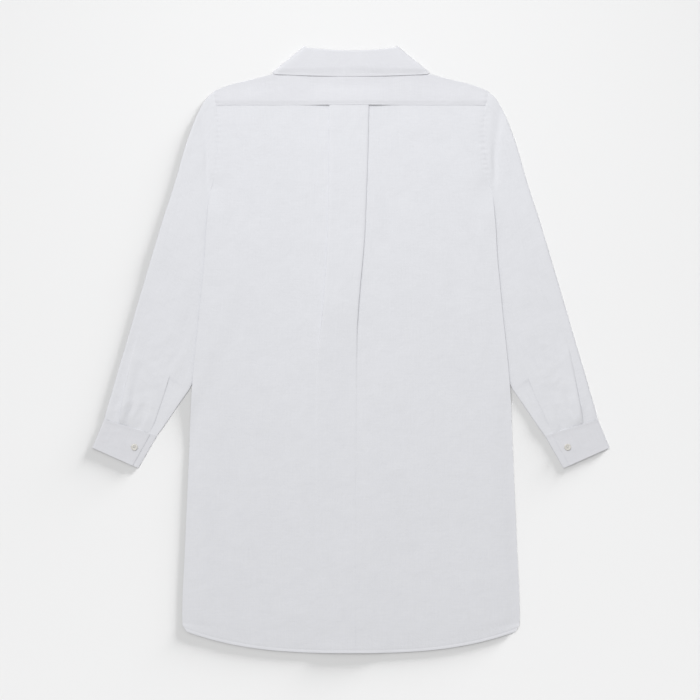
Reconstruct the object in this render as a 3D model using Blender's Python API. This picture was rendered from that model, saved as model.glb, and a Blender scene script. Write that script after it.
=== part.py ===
"""Long-sleeved nightshirt laid flat on its front, with its back up.

Sizes are in millimetres until a mesh is made. "across" is the distance from the
centre line, positive on the wearer's right (+X). "down" is measured from the top
of the collar towards the hem (-Y). Heights are above the surface under the cloth.
"""

import math
from collections import namedtuple

import bmesh
import bpy
import numpy as np

# Driving sizes
LENGTH = 1002.0  # top of the collar to the lowest point of the hem
CLOTH = 1.0  # thickness of a wall of cloth
SEAM = 0.3  # gap between two pieces at a seam, or between two layers
UNDERARM = 233.0  # down, where sleeve, back and front meet
YOKE_EDGE = 97.5  # down, lower edge of the yoke
YOKE_LAP = 7.0  # how far the yoke lies over the back
HEM_TURN = 7.0  # width of the turned hem
HEM_EXTRA = 0.5  # how much thicker the turned hem is
PLACKET_HALF = 15.0  # half the width of the buttonhole band
BUTTON_ACROSS = 11.0
BUTTON_THICK = 1.9
BUTTON_SIDES = 14
FRONT_BUTTONS = 8
FIRST_FRONT_BUTTON = 168.0  # down
FRONT_BUTTON_STEP = 88.0

# Heights of the layers that lie under others
SLEEVE_TOP = 2.6  # top of a sleeve where the body lies on it
SLEEVE_LIFT = 3.3  # underside of the front where a sleeve is below it
COLLAR_LIFT = 2.6  # underside of the front where the collar is below it
PLACKET_LIFT = 2.2  # underside of the band, held up by its buttons
CHEST_AIR = 3.6  # underside of the back over the resting fronts
CENTRE_AIR = 1.7  # how much higher the back lies over the band
LAYER_AIR = 0.6  # least gap between the back and a front, away from the seams
FOLD_RADIUS = 0.65  # of a pressed pleat, to the middle of the wall

Edge = namedtuple("Edge", "down across")
Slope = namedtuple("Slope", "across down")
Pleat = namedtuple("Pleat", "down left right depth turn")
Chord = namedtuple(
    "Chord", "outer_across outer_down inner_across inner_down seam slit tuck depth turn lap"
)

# The edge of the body: armhole down to the underarm, then the side seam
BODY_EDGE = (
    Edge(76, 226.5),
    Edge(107, 220),
    Edge(152, 217.7),
    Edge(206, 223.5),
    Edge(233, 229),
    Edge(287, 235),
    Edge(353, 242),
    Edge(419, 248),
    Edge(485, 255),
    Edge(551, 261.5),
    Edge(683, 267.7),
    Edge(848, 275),
    Edge(930, 278.5),
    Edge(948, 278.5),
    Edge(960, 276),
    Edge(968, 270),
)
SHOULDER = (
    Slope(0, 12),
    Slope(86, 33.5),
    Slope(128, 46),
    Slope(164, 55.3),
    Slope(203, 65.2),
    Slope(223, 73.4),
    Slope(227, 76),
)
HEM_RISE = 35.5  # how much higher the hem is at its corners
HEM_CORNER = 272.0  # across
HEM_POWER = 2.8

# The sleeve's inner edge, where the body hides it and on to the cuff
SLEEVE_INNER = (
    Edge(250, 236),
    Edge(279, 235),
    Edge(294, 232),
    Edge(318, 223),
    Edge(345, 212),
    Edge(380, 206),
    Edge(425, 210),
    Edge(470, 224),
    Edge(520, 244),
    Edge(563, 264.4),
    Edge(609, 295.8),
    Edge(645, 320.5),
)
# Sections of the sleeve from the armhole to the cuff, each from its outer edge to
# its inner one. seam is 1 on the armhole seam. slit is how far the cuff slit's line
# is from the inner edge. tuck is how far the tuck is from the outer edge, depth is
# how much it folds under, and turn is the turn of its folds. lap is how far the
# cloth under the slit's edge goes on past it, and is 0 before the slit opens.
SLEEVE_CHORDS = (
    Chord(226.9, 76.6, 229.6, 233.4, 1.0, 30, 40, 0, 2, 0),
    Chord(235, 82, 231.4, 243, 0.6, 30, 40, 0, 2, 0),
    Chord(241, 89.5, 232.9, 254, 0.25, 30, 40, 0, 2, 0),
    Chord(248, 101, 234.1, 266, 0, 30, 40, 0, 2, 0),
    Chord(258, 122, 235, 279, 0, 30, 40, 0, 2, 0),
    Chord(273, 163, 232.2, 294, 0, 30, 40, 0, 2, 0),
    Chord(285, 205, 223, 318, 0, 30, 40, 0, 2, 0),
    Chord(296, 241, 212, 345, 0, 32, 40, 0, 2, 0),
    Chord(312, 290, 206, 380, 0, 34, 40, 0, 2, 0),
    Chord(330, 350, 210, 425, 0, 36, 40, 0, 2, 0),
    Chord(343, 394, 225, 473, 0, 36, 30, 0, 2, 0),
    Chord(357, 441, 245, 522, 0, 36, 20, 0, 4, 0),
    Chord(371, 490, 267, 567, 0, 34.8, 15.5, 0, 22, 0),
    Chord(374, 500, 270, 571.5, 0, 33, 15.8, 0.3, 35, -0.6),
    Chord(383, 530, 281, 587, 0, 26.9, 17.5, 0.5, 85, 7),
    Chord(396, 575, 298, 612, 0, 20, 20.5, 1.5, 155, 12),
    Chord(404, 602, 311, 631, 0, 15, 23, 4, 176, 13),
    Chord(407.3, 616, 320, 643, 0, 12.6, 24, 6, 180, 13),
)
SLIT_SHIFT = 8.0  # how much further in the slit starts on the right than on the left
CUFF_PUFF = 1.0  # how much higher the visible sleeve lies than the hidden part

# The box pleat: edges of the box, depth of the fold under it, turn of the cloth
BOX_PLEAT = (
    Pleat(90, -35.6, 29.5, 26, 180),
    Pleat(200, -35.8, 26.8, 22, 180),
    Pleat(320, -38.3, 22, 13, 180),
    Pleat(420, -44, 12.5, 4, 176),
    Pleat(480, -51, 8.5, 0.6, 115),
    Pleat(535, -54, 7.5, 0.3, 50),
    Pleat(610, -55, 7, 0.3, 17),
    Pleat(700, -55, 6, 0.3, 6),
    Pleat(1002, -55, 6, 0.3, 2),
)

# Collar, from the back neck round to the front
ROLL_CORNER = (76.0, 0.0)
ROLL_DIP = 8.3  # down, middle of the folded top edge
LEAF_TIP = (129.0, 43.7)
LEAF_BACK = 50.3  # down, middle of the falling edge
LEAF_POINT = (62.0, 141.0)
LEAF_FRONT = (4.0, 92.0)
NECK_SIDE = (86.0, 33.5)
NECK_BACK = 44.0  # down, middle of the back neck seam
NECK_FRONT = 122.0  # down, middle of the front neck seam
STAND_LAP = 13.0  # how far each end of the stand passes the centre
LEAF_HIGH = 7.6  # middle of the leaf's wall at the sides of the neck
LEAF_LIFT = 1.6  # how much higher it lies at the centre back
LEAF_LOW = 0.5  # middle of the leaf's wall on the floor side
ROLL_RADIUS = 1.6  # of the collar's fold, to the middle of the wall

# Right cuff: corners of its visible side, and the edge that overlaps
CUFF_OUTER = ((407.5, 616.4), (427.0, 663.0))
CUFF_INNER = ((320.2, 643.4), (351.0, 697.0))
CUFF_LAP_AT = 0.125  # share of the width, from the inner edge, of the overlap edge
CUFF_UNDERLAP = 26.0
CUFF_BUTTON = (357.5, 662.0)
CUFF_TOP = 3.6

CLOTH_COLOUR = (0.80, 0.81, 0.83)
BUTTON_COLOUR = (0.86, 0.84, 0.78)


def follow(table, value):
    """Reads a two-column table at value, on a smooth curve through its rows."""
    keys, numbers = np.array(table, float).T
    slopes = np.gradient(numbers, keys)
    value = np.clip(np.asarray(value, float), keys[0], keys[-1])
    low = np.clip(np.searchsorted(keys, value, side="right") - 1, 0, len(keys) - 2)
    span = keys[low + 1] - keys[low]
    share = (value - keys[low]) / span
    rise = share * share * (3 - 2 * share)
    leave = share * (1 - share) ** 2 * span * slopes[low]
    arrive = share * share * (share - 1) * span * slopes[low + 1]
    return numbers[low] * (1 - rise) + numbers[low + 1] * rise + leave + arrive


def ease(start, end, value):
    """0 up to start, 1 from end, and a smooth rise between them."""
    share = np.clip((np.asarray(value, float) - start) / (end - start), 0, 1)
    return share * share * (3 - 2 * share)


def bend(first, middle, last, share):
    """Point on the curve that leaves first and reaches last, drawn towards middle."""
    share = np.asarray(share, float)[..., None]
    first, middle, last = (np.array(point, float) for point in (first, middle, last))
    return first * (1 - share) ** 2 + middle * 2 * share * (1 - share) + last * share**2


def half_width(down):
    return follow(BODY_EDGE, down)


def shoulder(across):
    return follow(SHOULDER, np.abs(across))


def hem(across):
    return LENGTH - HEM_RISE * np.abs(np.asarray(across) / HEM_CORNER) ** HEM_POWER


def neck_front(across):
    share = np.clip(np.abs(across) / NECK_SIDE[0], 0, 1)
    return NECK_SIDE[1] + (NECK_FRONT - NECK_SIDE[1]) * np.sqrt(1 - share**2)


def neck_back(across):
    share = np.clip(np.abs(across) / NECK_SIDE[0], 0, 1)
    return NECK_BACK - (NECK_BACK - NECK_SIDE[1]) * share**2.5


def collar_lift(across, down):
    """How far the folded collar under it holds the front off the floor."""
    reach = np.hypot(np.asarray(across) / 150, (np.asarray(down) - 30) / 135)
    return COLLAR_LIFT * (1 - ease(0.70, 1.30, reach))


def sleeve_lift(across, down):
    """How far the sleeve under it holds the side of the front off the floor."""
    inner = follow(SLEEVE_INNER, down)
    over_sleeve = ease(inner - 42, inner - 14, np.abs(across))
    return SLEEVE_LIFT * over_sleeve * ease(228, 276, down)


def placket_lift(down):
    return np.maximum(PLACKET_LIFT, collar_lift(0, down))


def right_under(across, down):
    """Underside of the right front and of the band along its edge."""
    band = placket_lift(down) * (1 - ease(18, 48, np.abs(across)))
    return np.maximum.reduce(
        [band, collar_lift(across, down), sleeve_lift(across, down)]
    )


def left_under(across, down):
    """Underside of the left front, which lies on the band at the centre."""
    over_band = placket_lift(down) + CLOTH + SEAM
    band = over_band * (1 - ease(20, 62, -np.asarray(across, float)))
    return np.maximum.reduce(
        [band, collar_lift(across, down), sleeve_lift(across, down)]
    )


def turned(across, down):
    """Extra thickness of the turned hem."""
    return HEM_EXTRA * (hem(across) - down < HEM_TURN + 0.01)


def edge_distance(across, down):
    """How far a point is inside the body's closed edges: shoulder, side and hem."""
    across, down = np.abs(across), np.asarray(down, float)
    side = np.hypot(half_width(np.maximum(down, UNDERARM)) - across, 0)
    above = np.maximum(UNDERARM - down, 0)
    return np.minimum.reduce(
        [down - shoulder(across), np.hypot(side, above), hem(across) - down]
    )


def back_under(across, down):
    """Underside of the back and the yoke."""
    front_top = CLOTH + np.maximum(
        right_under(across, down) * (np.abs(across) > PLACKET_HALF),
        left_under(-np.abs(across), down),
    )
    front_top = front_top + turned(across, down)
    centre = np.exp(-((np.asarray(across) / 70) ** 2))
    open_part = np.maximum(CHEST_AIR + CENTRE_AIR * centre, front_top + LAYER_AIR)
    closed_part = front_top + SEAM + 0.5 * centre
    inside = ease(0, 34, edge_distance(across, down))
    return closed_part * (1 - inside) + open_part * inside


def folds(turn, depth):
    """Middle of the wall through a fold under and back again, in cloth turned by turn.

    Each row is how far out it is, how far down and how far the wall leans. The two
    bends keep their length of cloth, so a fold that opens out goes flat.
    """
    radius = FOLD_RADIUS * math.pi / turn
    rows = []
    for angle in turn * np.array([1, 2, 3]) / 3:
        rows.append((radius * math.sin(angle), radius * (1 - math.cos(angle)), angle))
    out, drop, _ = rows[-1]
    out, drop = out + depth * math.cos(turn), drop + depth * math.sin(turn)
    rows.append((out, drop, turn))
    for angle in turn * np.array([2, 1, 0]) / 3:
        bend_out = out + radius * (math.sin(turn) - math.sin(angle))
        bend_drop = drop + radius * (math.cos(angle) - math.cos(turn))
        rows.append((bend_out, bend_drop, angle))
    return np.array(rows)


def pleat_at(down):
    """The box pleat's section at one height of the garment."""
    downs, *columns = np.array(BOX_PLEAT, float).T
    return Pleat(down, *(float(np.interp(down, downs, column)) for column in columns))


def pleat_height(down):
    """Height of the box pleat's top layer over its lowest one."""
    pleat = pleat_at(down)
    return folds(math.radians(pleat.turn), pleat.depth)[-1, 1]


def yoke_under(across, down):
    """The yoke lies on the back's top edge, and on the pleat there."""
    across = np.asarray(across, float)
    over_pleat = ease(-82, -36, across) * (1 - ease(36, 82, across))
    lap = CLOTH + 1.5 * SEAM + pleat_height(YOKE_EDGE) * over_pleat
    return back_under(across, down) + lap * ease(62, YOKE_EDGE - YOKE_LAP - 1, down)


def placed(across, down, height):
    """World points in millimetres, in the last axis of an array."""
    return np.stack(
        np.broadcast_arrays(across, LENGTH / 2 - np.asarray(down, float), height), -1
    )


def wall(name, under, over, material, closed_rows=0):
    """Closed wall between two grids of points.

    In the first closed_rows rows the last column is the first one again, so that
    the wall is a tube there.
    """
    rows, columns = under.shape[:2]
    points = np.concatenate([under.reshape(-1, 3), over.reshape(-1, 3)]) * 0.001
    index = np.arange(rows * columns).reshape(rows, columns)
    index[:closed_rows, -1] = index[:closed_rows, 0]
    corners = (index[:-1, :-1], index[:-1, 1:], index[1:, 1:], index[1:, :-1])
    skin = np.stack(corners, -1).reshape(-1, 4)
    slit = max(closed_rows - 1, 0)
    edges = [index[0], index[-1], index[slit:, 0], index[slit:, -1]]
    rims = [
        np.stack([edge[:-1], edge[1:], edge[1:] + rows * columns, edge[:-1] + rows * columns], -1)
        for edge in edges
    ]
    faces = np.concatenate([skin, skin + rows * columns, *rims])
    mesh = bpy.data.meshes.new(name)
    used, faces = np.unique(faces, return_inverse=True)
    mesh.from_pydata(points[used].tolist(), [], faces.reshape(-1, 4).tolist())
    return finished(name, mesh, material)


def finished(name, mesh, material):
    """Turns the faces outwards and puts the piece in the garment's collection."""
    shape = bmesh.new()
    shape.from_mesh(mesh)
    bmesh.ops.recalc_face_normals(shape, faces=shape.faces)
    shape.to_mesh(mesh)
    shape.free()
    mesh.materials.append(material)
    mesh.shade_smooth()
    mesh.set_sharp_from_angle(angle=math.radians(40))
    piece = bpy.data.objects.new(name, mesh)
    GARMENT.objects.link(piece)
    return piece


def finish_material(name, colour, roughness):
    material = bpy.data.materials.new(name)
    material.use_nodes = True
    shader = material.node_tree.nodes["Principled BSDF"]
    shader.inputs["Base Color"].default_value = (*colour, 1)
    shader.inputs["Roughness"].default_value = roughness
    shader.inputs["Metallic"].default_value = 0
    return material


# Rows and columns that pieces share, so that their seams match. Columns up to the
# side of the neck are distances, and the ones beyond it are shares of half the width.
SIDE_ROWS = (
    233, 252, 276, 305, 345, 390, 440, 490, 535, 570, 605, 650, 710, 775, 840, 900, 932, 948,
)
ARMHOLE_ROWS = 6
HEM_ROWS = 3
BACK_NECK_COLUMNS = (0, 19, 37.5, 47, 66, 86)
FRONT_NECK_COLUMNS = (22.3, 43, 60.8, 74.5, 83.07, 86)
OUTER_SHARES = (0.46, 0.55, 0.64, 0.72, 0.79, 0.86, 0.92, 0.97, 1.0)


def row_downs(top, across):
    """down of each row for columns at across: armhole rows, side rows, hem rows."""
    shares = np.linspace(0, 1, ARMHOLE_ROWS + 1)[:-1]
    downs = [top + (UNDERARM - top) * share for share in shares]
    downs += [np.full_like(top, down) for down in SIDE_ROWS]
    last, end = SIDE_ROWS[-1], hem(across)
    downs += [
        last + (end - HEM_TURN - last) * 0.5,
        end - HEM_TURN,
        end,
    ]
    return np.array(downs)


def body_row(number, inner, top):
    """across and down of a row's columns, from the inner ones out to the body's edge.

    top gives where each column starts. The edge is found by stepping towards it,
    because the hem's height there depends on how far out the edge is.
    """
    edge = BODY_EDGE[0].across
    for _ in range(30):
        across = np.concatenate([inner, edge * np.array(OUTER_SHARES)])
        down = row_downs(top(across), across)[number]
        edge = (edge + half_width(down[-1])) / 2
    return across, down


def back_top(across):
    return np.full(np.shape(across), YOKE_EDGE - YOKE_LAP)


def front_top_edge(across):
    return np.where(across <= NECK_SIDE[0], neck_front(across), shoulder(across))


def yoke_top_edge(across):
    return np.where(across <= NECK_SIDE[0], neck_back(across), shoulder(across))


def make_back(material):
    """Back panel: a section for each row, with the box pleat's folds in it."""
    base_shares = np.array([0.1, 0.35, 0.65, 1])
    rows_under, rows_over = [], []
    for number in range(ARMHOLE_ROWS + len(SIDE_ROWS) + HEM_ROWS):
        row = row_downs(back_top(np.zeros(1)), np.zeros(1))[number][0]
        pleat = pleat_at(row)
        centre = (pleat.left + pleat.right) / 2
        fold = folds(math.radians(pleat.turn), pleat.depth)
        halves = []
        for side, box_edge in ((1, pleat.right), (-1, pleat.left)):
            half_box = abs(box_edge - centre) - FOLD_RADIUS
            out = np.concatenate([[half_box / 2, half_box], half_box + fold[:, 0]])
            drop = np.concatenate([[0, 0], fold[:, 1]])
            lean = np.concatenate([[0, 0], fold[:, 2]])
            fold_end = side * centre + out[-1]
            inner = fold_end + (NECK_SIDE[0] - fold_end) * base_shares
            base, base_down = body_row(number, inner, back_top)
            pleated = side * centre + out
            pleated_down = row_downs(back_top(pleated), pleated)[number]
            flat = np.zeros(len(base))
            halves.append(
                (
                    side * np.concatenate([pleated, base]),
                    np.concatenate([pleated_down, base_down]),
                    drop[-1] - np.concatenate([drop, flat + drop[-1]]),
                    side * np.concatenate([lean, flat]),
                )
            )
        right, left = halves
        middle = (centre, row_downs(back_top(np.zeros(1)), np.array([centre]))[number][0])
        middle += (right[2][0], 0.0)
        across, down, height, lean = (
            np.concatenate([left[i][::-1], [middle[i]], right[i]]) for i in range(4)
        )
        level = back_under(across, down) + CLOTH / 2 + height
        half = CLOTH / 2
        extra = half + turned(across, down)
        rows_under.append(
            placed(across - half * np.sin(lean), down, level - half * np.cos(lean))
        )
        rows_over.append(
            placed(across + extra * np.sin(lean), down, level + extra * np.cos(lean))
        )
    return wall("back", np.array(rows_under), np.array(rows_over), material)


def make_yoke(material):
    """Yoke from armhole to armhole, between the shoulder and its lapped edge."""
    rows_across, rows_down = [], []
    for share in (0, 0.06, 0.2, 0.42, 0.66, 0.86, 1.0):
        edge = BODY_EDGE[0].across
        for _ in range(20):
            half = np.concatenate([BACK_NECK_COLUMNS, edge * np.array(OUTER_SHARES)])
            top = yoke_top_edge(half)
            down = top + (YOKE_EDGE - top) * share
            edge = half_width(down[-1])
        rows_across.append(np.concatenate([-half[:0:-1], half]))
        rows_down.append(np.concatenate([down[:0:-1], down]))
    across, down = np.array(rows_across), np.array(rows_down)
    height = yoke_under(across, down)
    return wall(
        "yoke", placed(across, down, height), placed(across, down, height + CLOTH), material
    )


def make_front(name, side, centre_columns, under, material):
    """One front, from its centre edge to the side seam."""
    inner = np.concatenate([centre_columns, FRONT_NECK_COLUMNS])
    numbers = range(ARMHOLE_ROWS + len(SIDE_ROWS) + HEM_ROWS)
    rows = np.array([body_row(number, inner, front_top_edge) for number in numbers])
    across, down = side * rows[:, 0, ::side], rows[:, 1, ::side]
    height = under(across, down)
    thick = CLOTH + turned(across, down)
    return wall(
        name, placed(across, down, height), placed(across, down, height + thick), material
    )


def make_placket(material):
    """Buttonhole band on the edge of the right front, neck to hem."""
    across = np.array([-PLACKET_HALF, 0, PLACKET_HALF])
    downs = row_downs(neck_front(across), across)
    height = placket_lift(downs)
    return wall(
        "placket", placed(across, downs, height), placed(across, downs, height + CLOTH), material
    )


def armhole_top(down):
    """Top of the back, or of the yoke above it, along the armhole."""
    edge = half_width(down)
    return np.where(
        down < YOKE_EDGE, yoke_under(edge, down), back_under(edge, down)
    ) + CLOTH


def sleeve_surface(across, down):
    """Top of the sleeve: low under the body, a little fuller where it shows."""
    outside = across - half_width(np.clip(down, UNDERARM, 700))
    shown = ease(2, 30, outside)
    return SLEEVE_TOP + CUFF_PUFF * shown


def edge_normals(edge):
    """Unit vectors square to an edge, in plan, on its left as it goes down.

    The first one lies along the armhole, where the edge starts.
    """
    run = np.gradient(edge, axis=0)
    normals = np.column_stack([-run[:, 1], run[:, 0]]) / np.hypot(*run.T)[:, None]
    normals[0] = (0, 1)
    return normals


def sleeve_levels(plan, seam):
    """Underside and top of the sleeve, blended into the armhole seam by seam."""
    down = min(plan[1], UNDERARM)
    across = min(plan[0], half_width(down))
    low = seam * right_under(across, down)
    high = seam * armhole_top(down) + (1 - seam) * sleeve_surface(*plan)
    return float(low), float(high)


def sleeve_ring(chord, side, inner_out, outer_out):
    """Middle of the sleeve's wall in one section, and its normal.

    It goes from the slit's edge out along the top, round the outer edge, in along
    the underside, round the inner edge and back to the slit, or on under its edge.
    inner_out and outer_out point out of the sleeve at the section's two ends.
    """
    is_open = chord.lap != 0
    settled = ease(385, 500, chord.outer_down)
    inner_end = np.array([chord.inner_across, chord.inner_down], float)
    outer_end = np.array([chord.outer_across, chord.outer_down], float)
    half = CLOTH / 2
    walls = np.array([half, -half])
    inner_low, inner_high = sleeve_levels(inner_end - 1.8 * inner_out, chord.seam) + walls
    outer_low, outer_high = sleeve_levels(outer_end - 1.8 * outer_out, chord.seam) + walls
    inner_high += settled * (1.5 * CLOTH + SEAM - inner_high)
    inner_radius = (inner_high - inner_low) / 2
    outer_radius = (outer_high - outer_low) / 2
    near = inner_end - inner_out * (inner_radius + half)
    far = outer_end - outer_out * (outer_radius + half)
    length = np.hypot(*(far - near))
    along = (far - near) / length
    slit = chord.slit - side * SLIT_SHIFT / 2 * ease(13, 35, chord.slit)
    tuck = length - chord.tuck
    fold = folds(math.radians(chord.turn), chord.depth)
    rise, fold_end = fold[-1, 1], tuck + fold[-1, 0]
    points, normals = [], []

    def pull(plan):
        """How far in towards the armhole seam a point of the section moves."""
        seam_line = half_width(min(plan[1], UNDERARM)) + 2 * SEAM
        return chord.seam * min(seam_line - plan[0], 0)

    def add_flat(distance, layer, lift=0.0, lean=0.0):
        """A point of the top, the underside or the cloth under the slit's edge."""
        plan = near + distance * along
        share = distance / length
        plan[0] += pull(plan) - pull(near) * (1 - share) - pull(far) * share
        low, high = sleeve_levels(plan, chord.seam)
        height = {"underside": low + half, "underlap": 1.5 * CLOTH + SEAM, "top": high - half}
        points.append([*plan, height[layer] + lift])
        normals.append([*(along * math.sin(lean)), math.cos(lean)])

    def add_bend(centre, out, low, high, upward):
        """Three points round one edge, going up or down."""
        radius, middle = (high - low) / 2, (high + low) / 2
        for turn in np.radians([45, 90, 135]):
            rise_share = -math.cos(turn) if upward else math.cos(turn)
            points.append([*(centre + out * radius * math.sin(turn)), middle + radius * rise_share])
            normals.append([*(out * math.sin(turn)), rise_share])

    for distance in slit + (tuck - slit) * np.array([0, 0.25, 0.5, 0.75, 0.9, 1]):
        add_flat(distance, "top", rise * ease(tuck - 22, tuck - 5, distance))
    for out, drop, lean in fold:
        add_flat(tuck + out, "top", rise - drop, lean)
    for share in (0.5, 1):
        add_flat(fold_end + (length - fold_end) * share, "top")
    add_bend(far, outer_out, outer_low, outer_high, upward=False)
    for share in np.linspace(1, 0, 10):
        add_flat(length * share, "underside", lean=math.pi)
    add_bend(near, inner_out, inner_low, inner_high, upward=True)
    for share in (0, 0.5, 1):
        add_flat((slit + chord.lap) * share, "underlap" if is_open else "top")
        if not is_open:
            points[-1][2] += settled * (1 - share) * (1.5 * CLOTH + SEAM - points[-1][2])
    return np.array(points, float), np.array(normals, float)


def make_sleeve(name, side, material):
    """Flattened tube through its sections, slit on top at the cuff."""
    outer = np.array([chord[:2] for chord in SLEEVE_CHORDS])
    inner = np.array([chord[2:4] for chord in SLEEVE_CHORDS])
    ends = zip(edge_normals(inner), -edge_normals(outer))
    rings = [sleeve_ring(chord, side, *end) for chord, end in zip(SLEEVE_CHORDS, ends)]
    middle = np.array([points for points, _ in rings])
    normal = np.array([normals for _, normals in rings])
    closed = [chord.lap == 0 for chord in SLEEVE_CHORDS]
    for row, is_closed in enumerate(closed):
        if is_closed:
            middle[row, 0] = middle[row, -1]
            normal[row, 0] = normal[row, -1]
    inner, outer = middle - normal * CLOTH / 2, middle + normal * CLOTH / 2
    return wall(
        name,
        placed(side * inner[..., 0], inner[..., 1], inner[..., 2]),
        placed(side * outer[..., 0], outer[..., 1], outer[..., 2]),
        material,
        closed_rows=sum(closed),
    )


def cuff_section(width):
    """Middle of the cuff's wall from its overlap edge, round, to its underlap.

    Each row is the distance from the inner edge, the height, and the wall's lean.
    """
    top, low, under = CUFF_TOP - CLOTH / 2, CLOTH / 2, CLOTH * 1.5 + SEAM
    lap = width * CUFF_LAP_AT
    outer_radius, inner_radius = (top - low) / 2, (under - low) / 2
    rows = [(d, top, 0.0) for d in np.linspace(lap, width - outer_radius - CLOTH / 2, 6)]
    outer_centre = width - outer_radius - CLOTH / 2
    for turn in np.radians([45, 90, 135]):
        out, up = outer_radius * math.sin(turn), outer_radius * math.cos(turn)
        rows.append((outer_centre + out, (top + low) / 2 + up, turn))
    inner_centre = inner_radius + CLOTH / 2
    rows += [(d, low, math.pi) for d in np.linspace(outer_centre, inner_centre, 6)]
    for turn in np.radians([45, 90, 135]):
        out, up = inner_radius * math.sin(turn), inner_radius * math.cos(turn)
        rows.append((inner_centre - out, (under + low) / 2 - up, math.pi + turn))
    rows += [(d, under, 2 * math.pi) for d in np.linspace(inner_centre, CUFF_UNDERLAP, 3)]
    return np.array(rows)


def make_cuff(name, side, material):
    """Buttoned cuff: one band whose ends overlap on the back of the sleeve."""
    under_rows, over_rows = [], []
    for share in (0.0, 0.33, 0.67, 1.0):
        outer = np.array(CUFF_OUTER[0]) * (1 - share) + np.array(CUFF_OUTER[1]) * share
        inner = np.array(CUFF_INNER[0]) * (1 - share) + np.array(CUFF_INNER[1]) * share
        width = np.hypot(*(outer - inner))
        along = (outer - inner) / width
        distance, height, lean = cuff_section(width).T
        for rows, half in ((under_rows, -CLOTH / 2), (over_rows, CLOTH / 2)):
            plan = inner + (distance + half * np.sin(lean))[:, None] * along
            rows.append(placed(side * plan[:, 0], plan[:, 1], height + half * np.cos(lean)))
    return wall(name, np.array(under_rows), np.array(over_rows), material)


def raised(plan, height):
    return np.array([*plan, height])


def collar_columns(side):
    """One half of the collar, from the centre back to the centre front.

    Each column holds four points in the middle of the wall: the leaf's free edge,
    the leaf at the roll, the stand at the roll and the stand at the neck seam.
    """
    run = np.array(LEAF_TIP) - np.array(ROLL_CORNER)
    away = np.array([run[1], -run[0]]) / np.hypot(*run)
    wrap = (LEAF_HIGH - LEAF_LOW) / 2
    stand_high = LEAF_HIGH - 2 * ROLL_RADIUS
    stand_low = COLLAR_LIFT + CLOTH / 2
    stand_wrap = (stand_high - stand_low) / 2
    roll_side = np.array(ROLL_CORNER) - wrap * away
    tip_side = np.array(LEAF_TIP) - wrap * away
    neck_side = np.array(NECK_SIDE) - np.array([stand_wrap + 3 * SEAM, 2 * SEAM])
    columns = []
    for share in np.array(BACK_NECK_COLUMNS) / NECK_SIDE[0]:
        lift = LEAF_LIFT * (1 - share**2)
        roll = (roll_side[0] * share, ROLL_DIP + (roll_side[1] - ROLL_DIP) * share**2)
        tip = (tip_side[0] * share, LEAF_BACK + (tip_side[1] - LEAF_BACK) * share**2.2)
        seam = (neck_side[0] * share, neck_back(neck_side[0] * share) - 2 * SEAM)
        high, low = LEAF_HIGH + lift, stand_high + lift
        columns.append((raised(tip, high), raised(roll, high), raised(roll, low), raised(seam, low)))
    for turn in np.radians([45, 90, 135]):
        leaf_out = raised(away * wrap * math.sin(turn), wrap * math.cos(turn))
        stand_out = raised(away * stand_wrap * math.sin(turn), stand_wrap * math.cos(turn))
        leaf_height, stand_height = (LEAF_HIGH + LEAF_LOW) / 2, (stand_high + stand_low) / 2
        columns.append(
            (
                raised(tip_side, leaf_height) + leaf_out,
                raised(roll_side, leaf_height) + leaf_out,
                raised(roll_side, stand_height) + stand_out,
                raised(neck_side, stand_height) + stand_out,
            )
        )
    under = right_under if side > 0 else left_under
    for share in np.linspace(0, 1, 7):
        roll = bend(roll_side, (44, 62), LEAF_FRONT, share)
        tip = bend(tip_side, (104, 96), LEAF_POINT, share)
        angle = share * math.pi / 2
        seam = (
            neck_side[0] * math.cos(angle),
            neck_side[1] + (NECK_FRONT - 3 * SEAM - neck_side[1]) * math.sin(angle),
        )
        low = float(under(side * seam[0], seam[1])) + CLOTH / 2
        columns.append(
            (raised(tip, LEAF_LOW), raised(roll, LEAF_LOW), raised(roll, low), raised(seam, low))
        )
    return columns


def collar_sections(side):
    """Middle of the wall and its normal, for the leaf and for the stand.

    The leaf's section starts at its free edge and goes over the roll. The stand's
    goes on from there down to the neck seam.
    """
    leaf, stand = [], []
    for tip, leaf_roll, stand_roll, seam in collar_columns(side):
        radius = np.linalg.norm(leaf_roll - stand_roll) / 2
        upward = (leaf_roll - tip) / np.linalg.norm(leaf_roll - tip)
        outer = leaf_roll - upward * radius
        inner = stand_roll - upward * radius
        middle, arm = (outer + inner) / 2, (outer - inner) / 2
        normal = arm / radius
        section = [(tip + (outer - tip) * share, normal) for share in (0, 0.3, 0.65, 0.92, 1)]
        for turn in np.radians([36, 72, 108, 144, 180]):
            point = middle + arm * math.cos(turn) + upward * radius * math.sin(turn)
            section.append((point, normal * math.cos(turn) + upward * math.sin(turn)))
        leaf.append(section)
        down_stand = seam - inner
        first = 2 * SEAM / np.linalg.norm(down_stand)
        stand.append([(inner + down_stand * share, -normal) for share in (first, 0.35, 0.7, 1)])
    return leaf, stand


def make_collar(material):
    """Collar leaf, folded over its roll, and the stand inside it."""
    right_leaf, right_stand = collar_sections(1)
    left_leaf, left_stand = collar_sections(-1)
    mirror = np.array([-1, 1, 1])
    for name, right, left in (
        ("collar_leaf", right_leaf, left_leaf),
        ("collar_stand", right_stand, left_stand),
    ):
        left = [[(mid * mirror, normal * mirror) for mid, normal in column] for column in left]
        columns = left[:0:-1] + right
        if name == "collar_stand":
            columns = stand_end(columns[0], -1) + columns + stand_end(columns[-1], 1)
        middle = np.array([[mid for mid, _ in column] for column in columns])
        normal = np.array([[normal for _, normal in column] for column in columns])
        inner, outer = middle - normal * CLOTH / 2, middle + normal * CLOTH / 2
        wall(
            name,
            placed(inner[..., 0], inner[..., 1], inner[..., 2]),
            placed(outer[..., 0], outer[..., 1], outer[..., 2]),
            material,
        )


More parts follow.
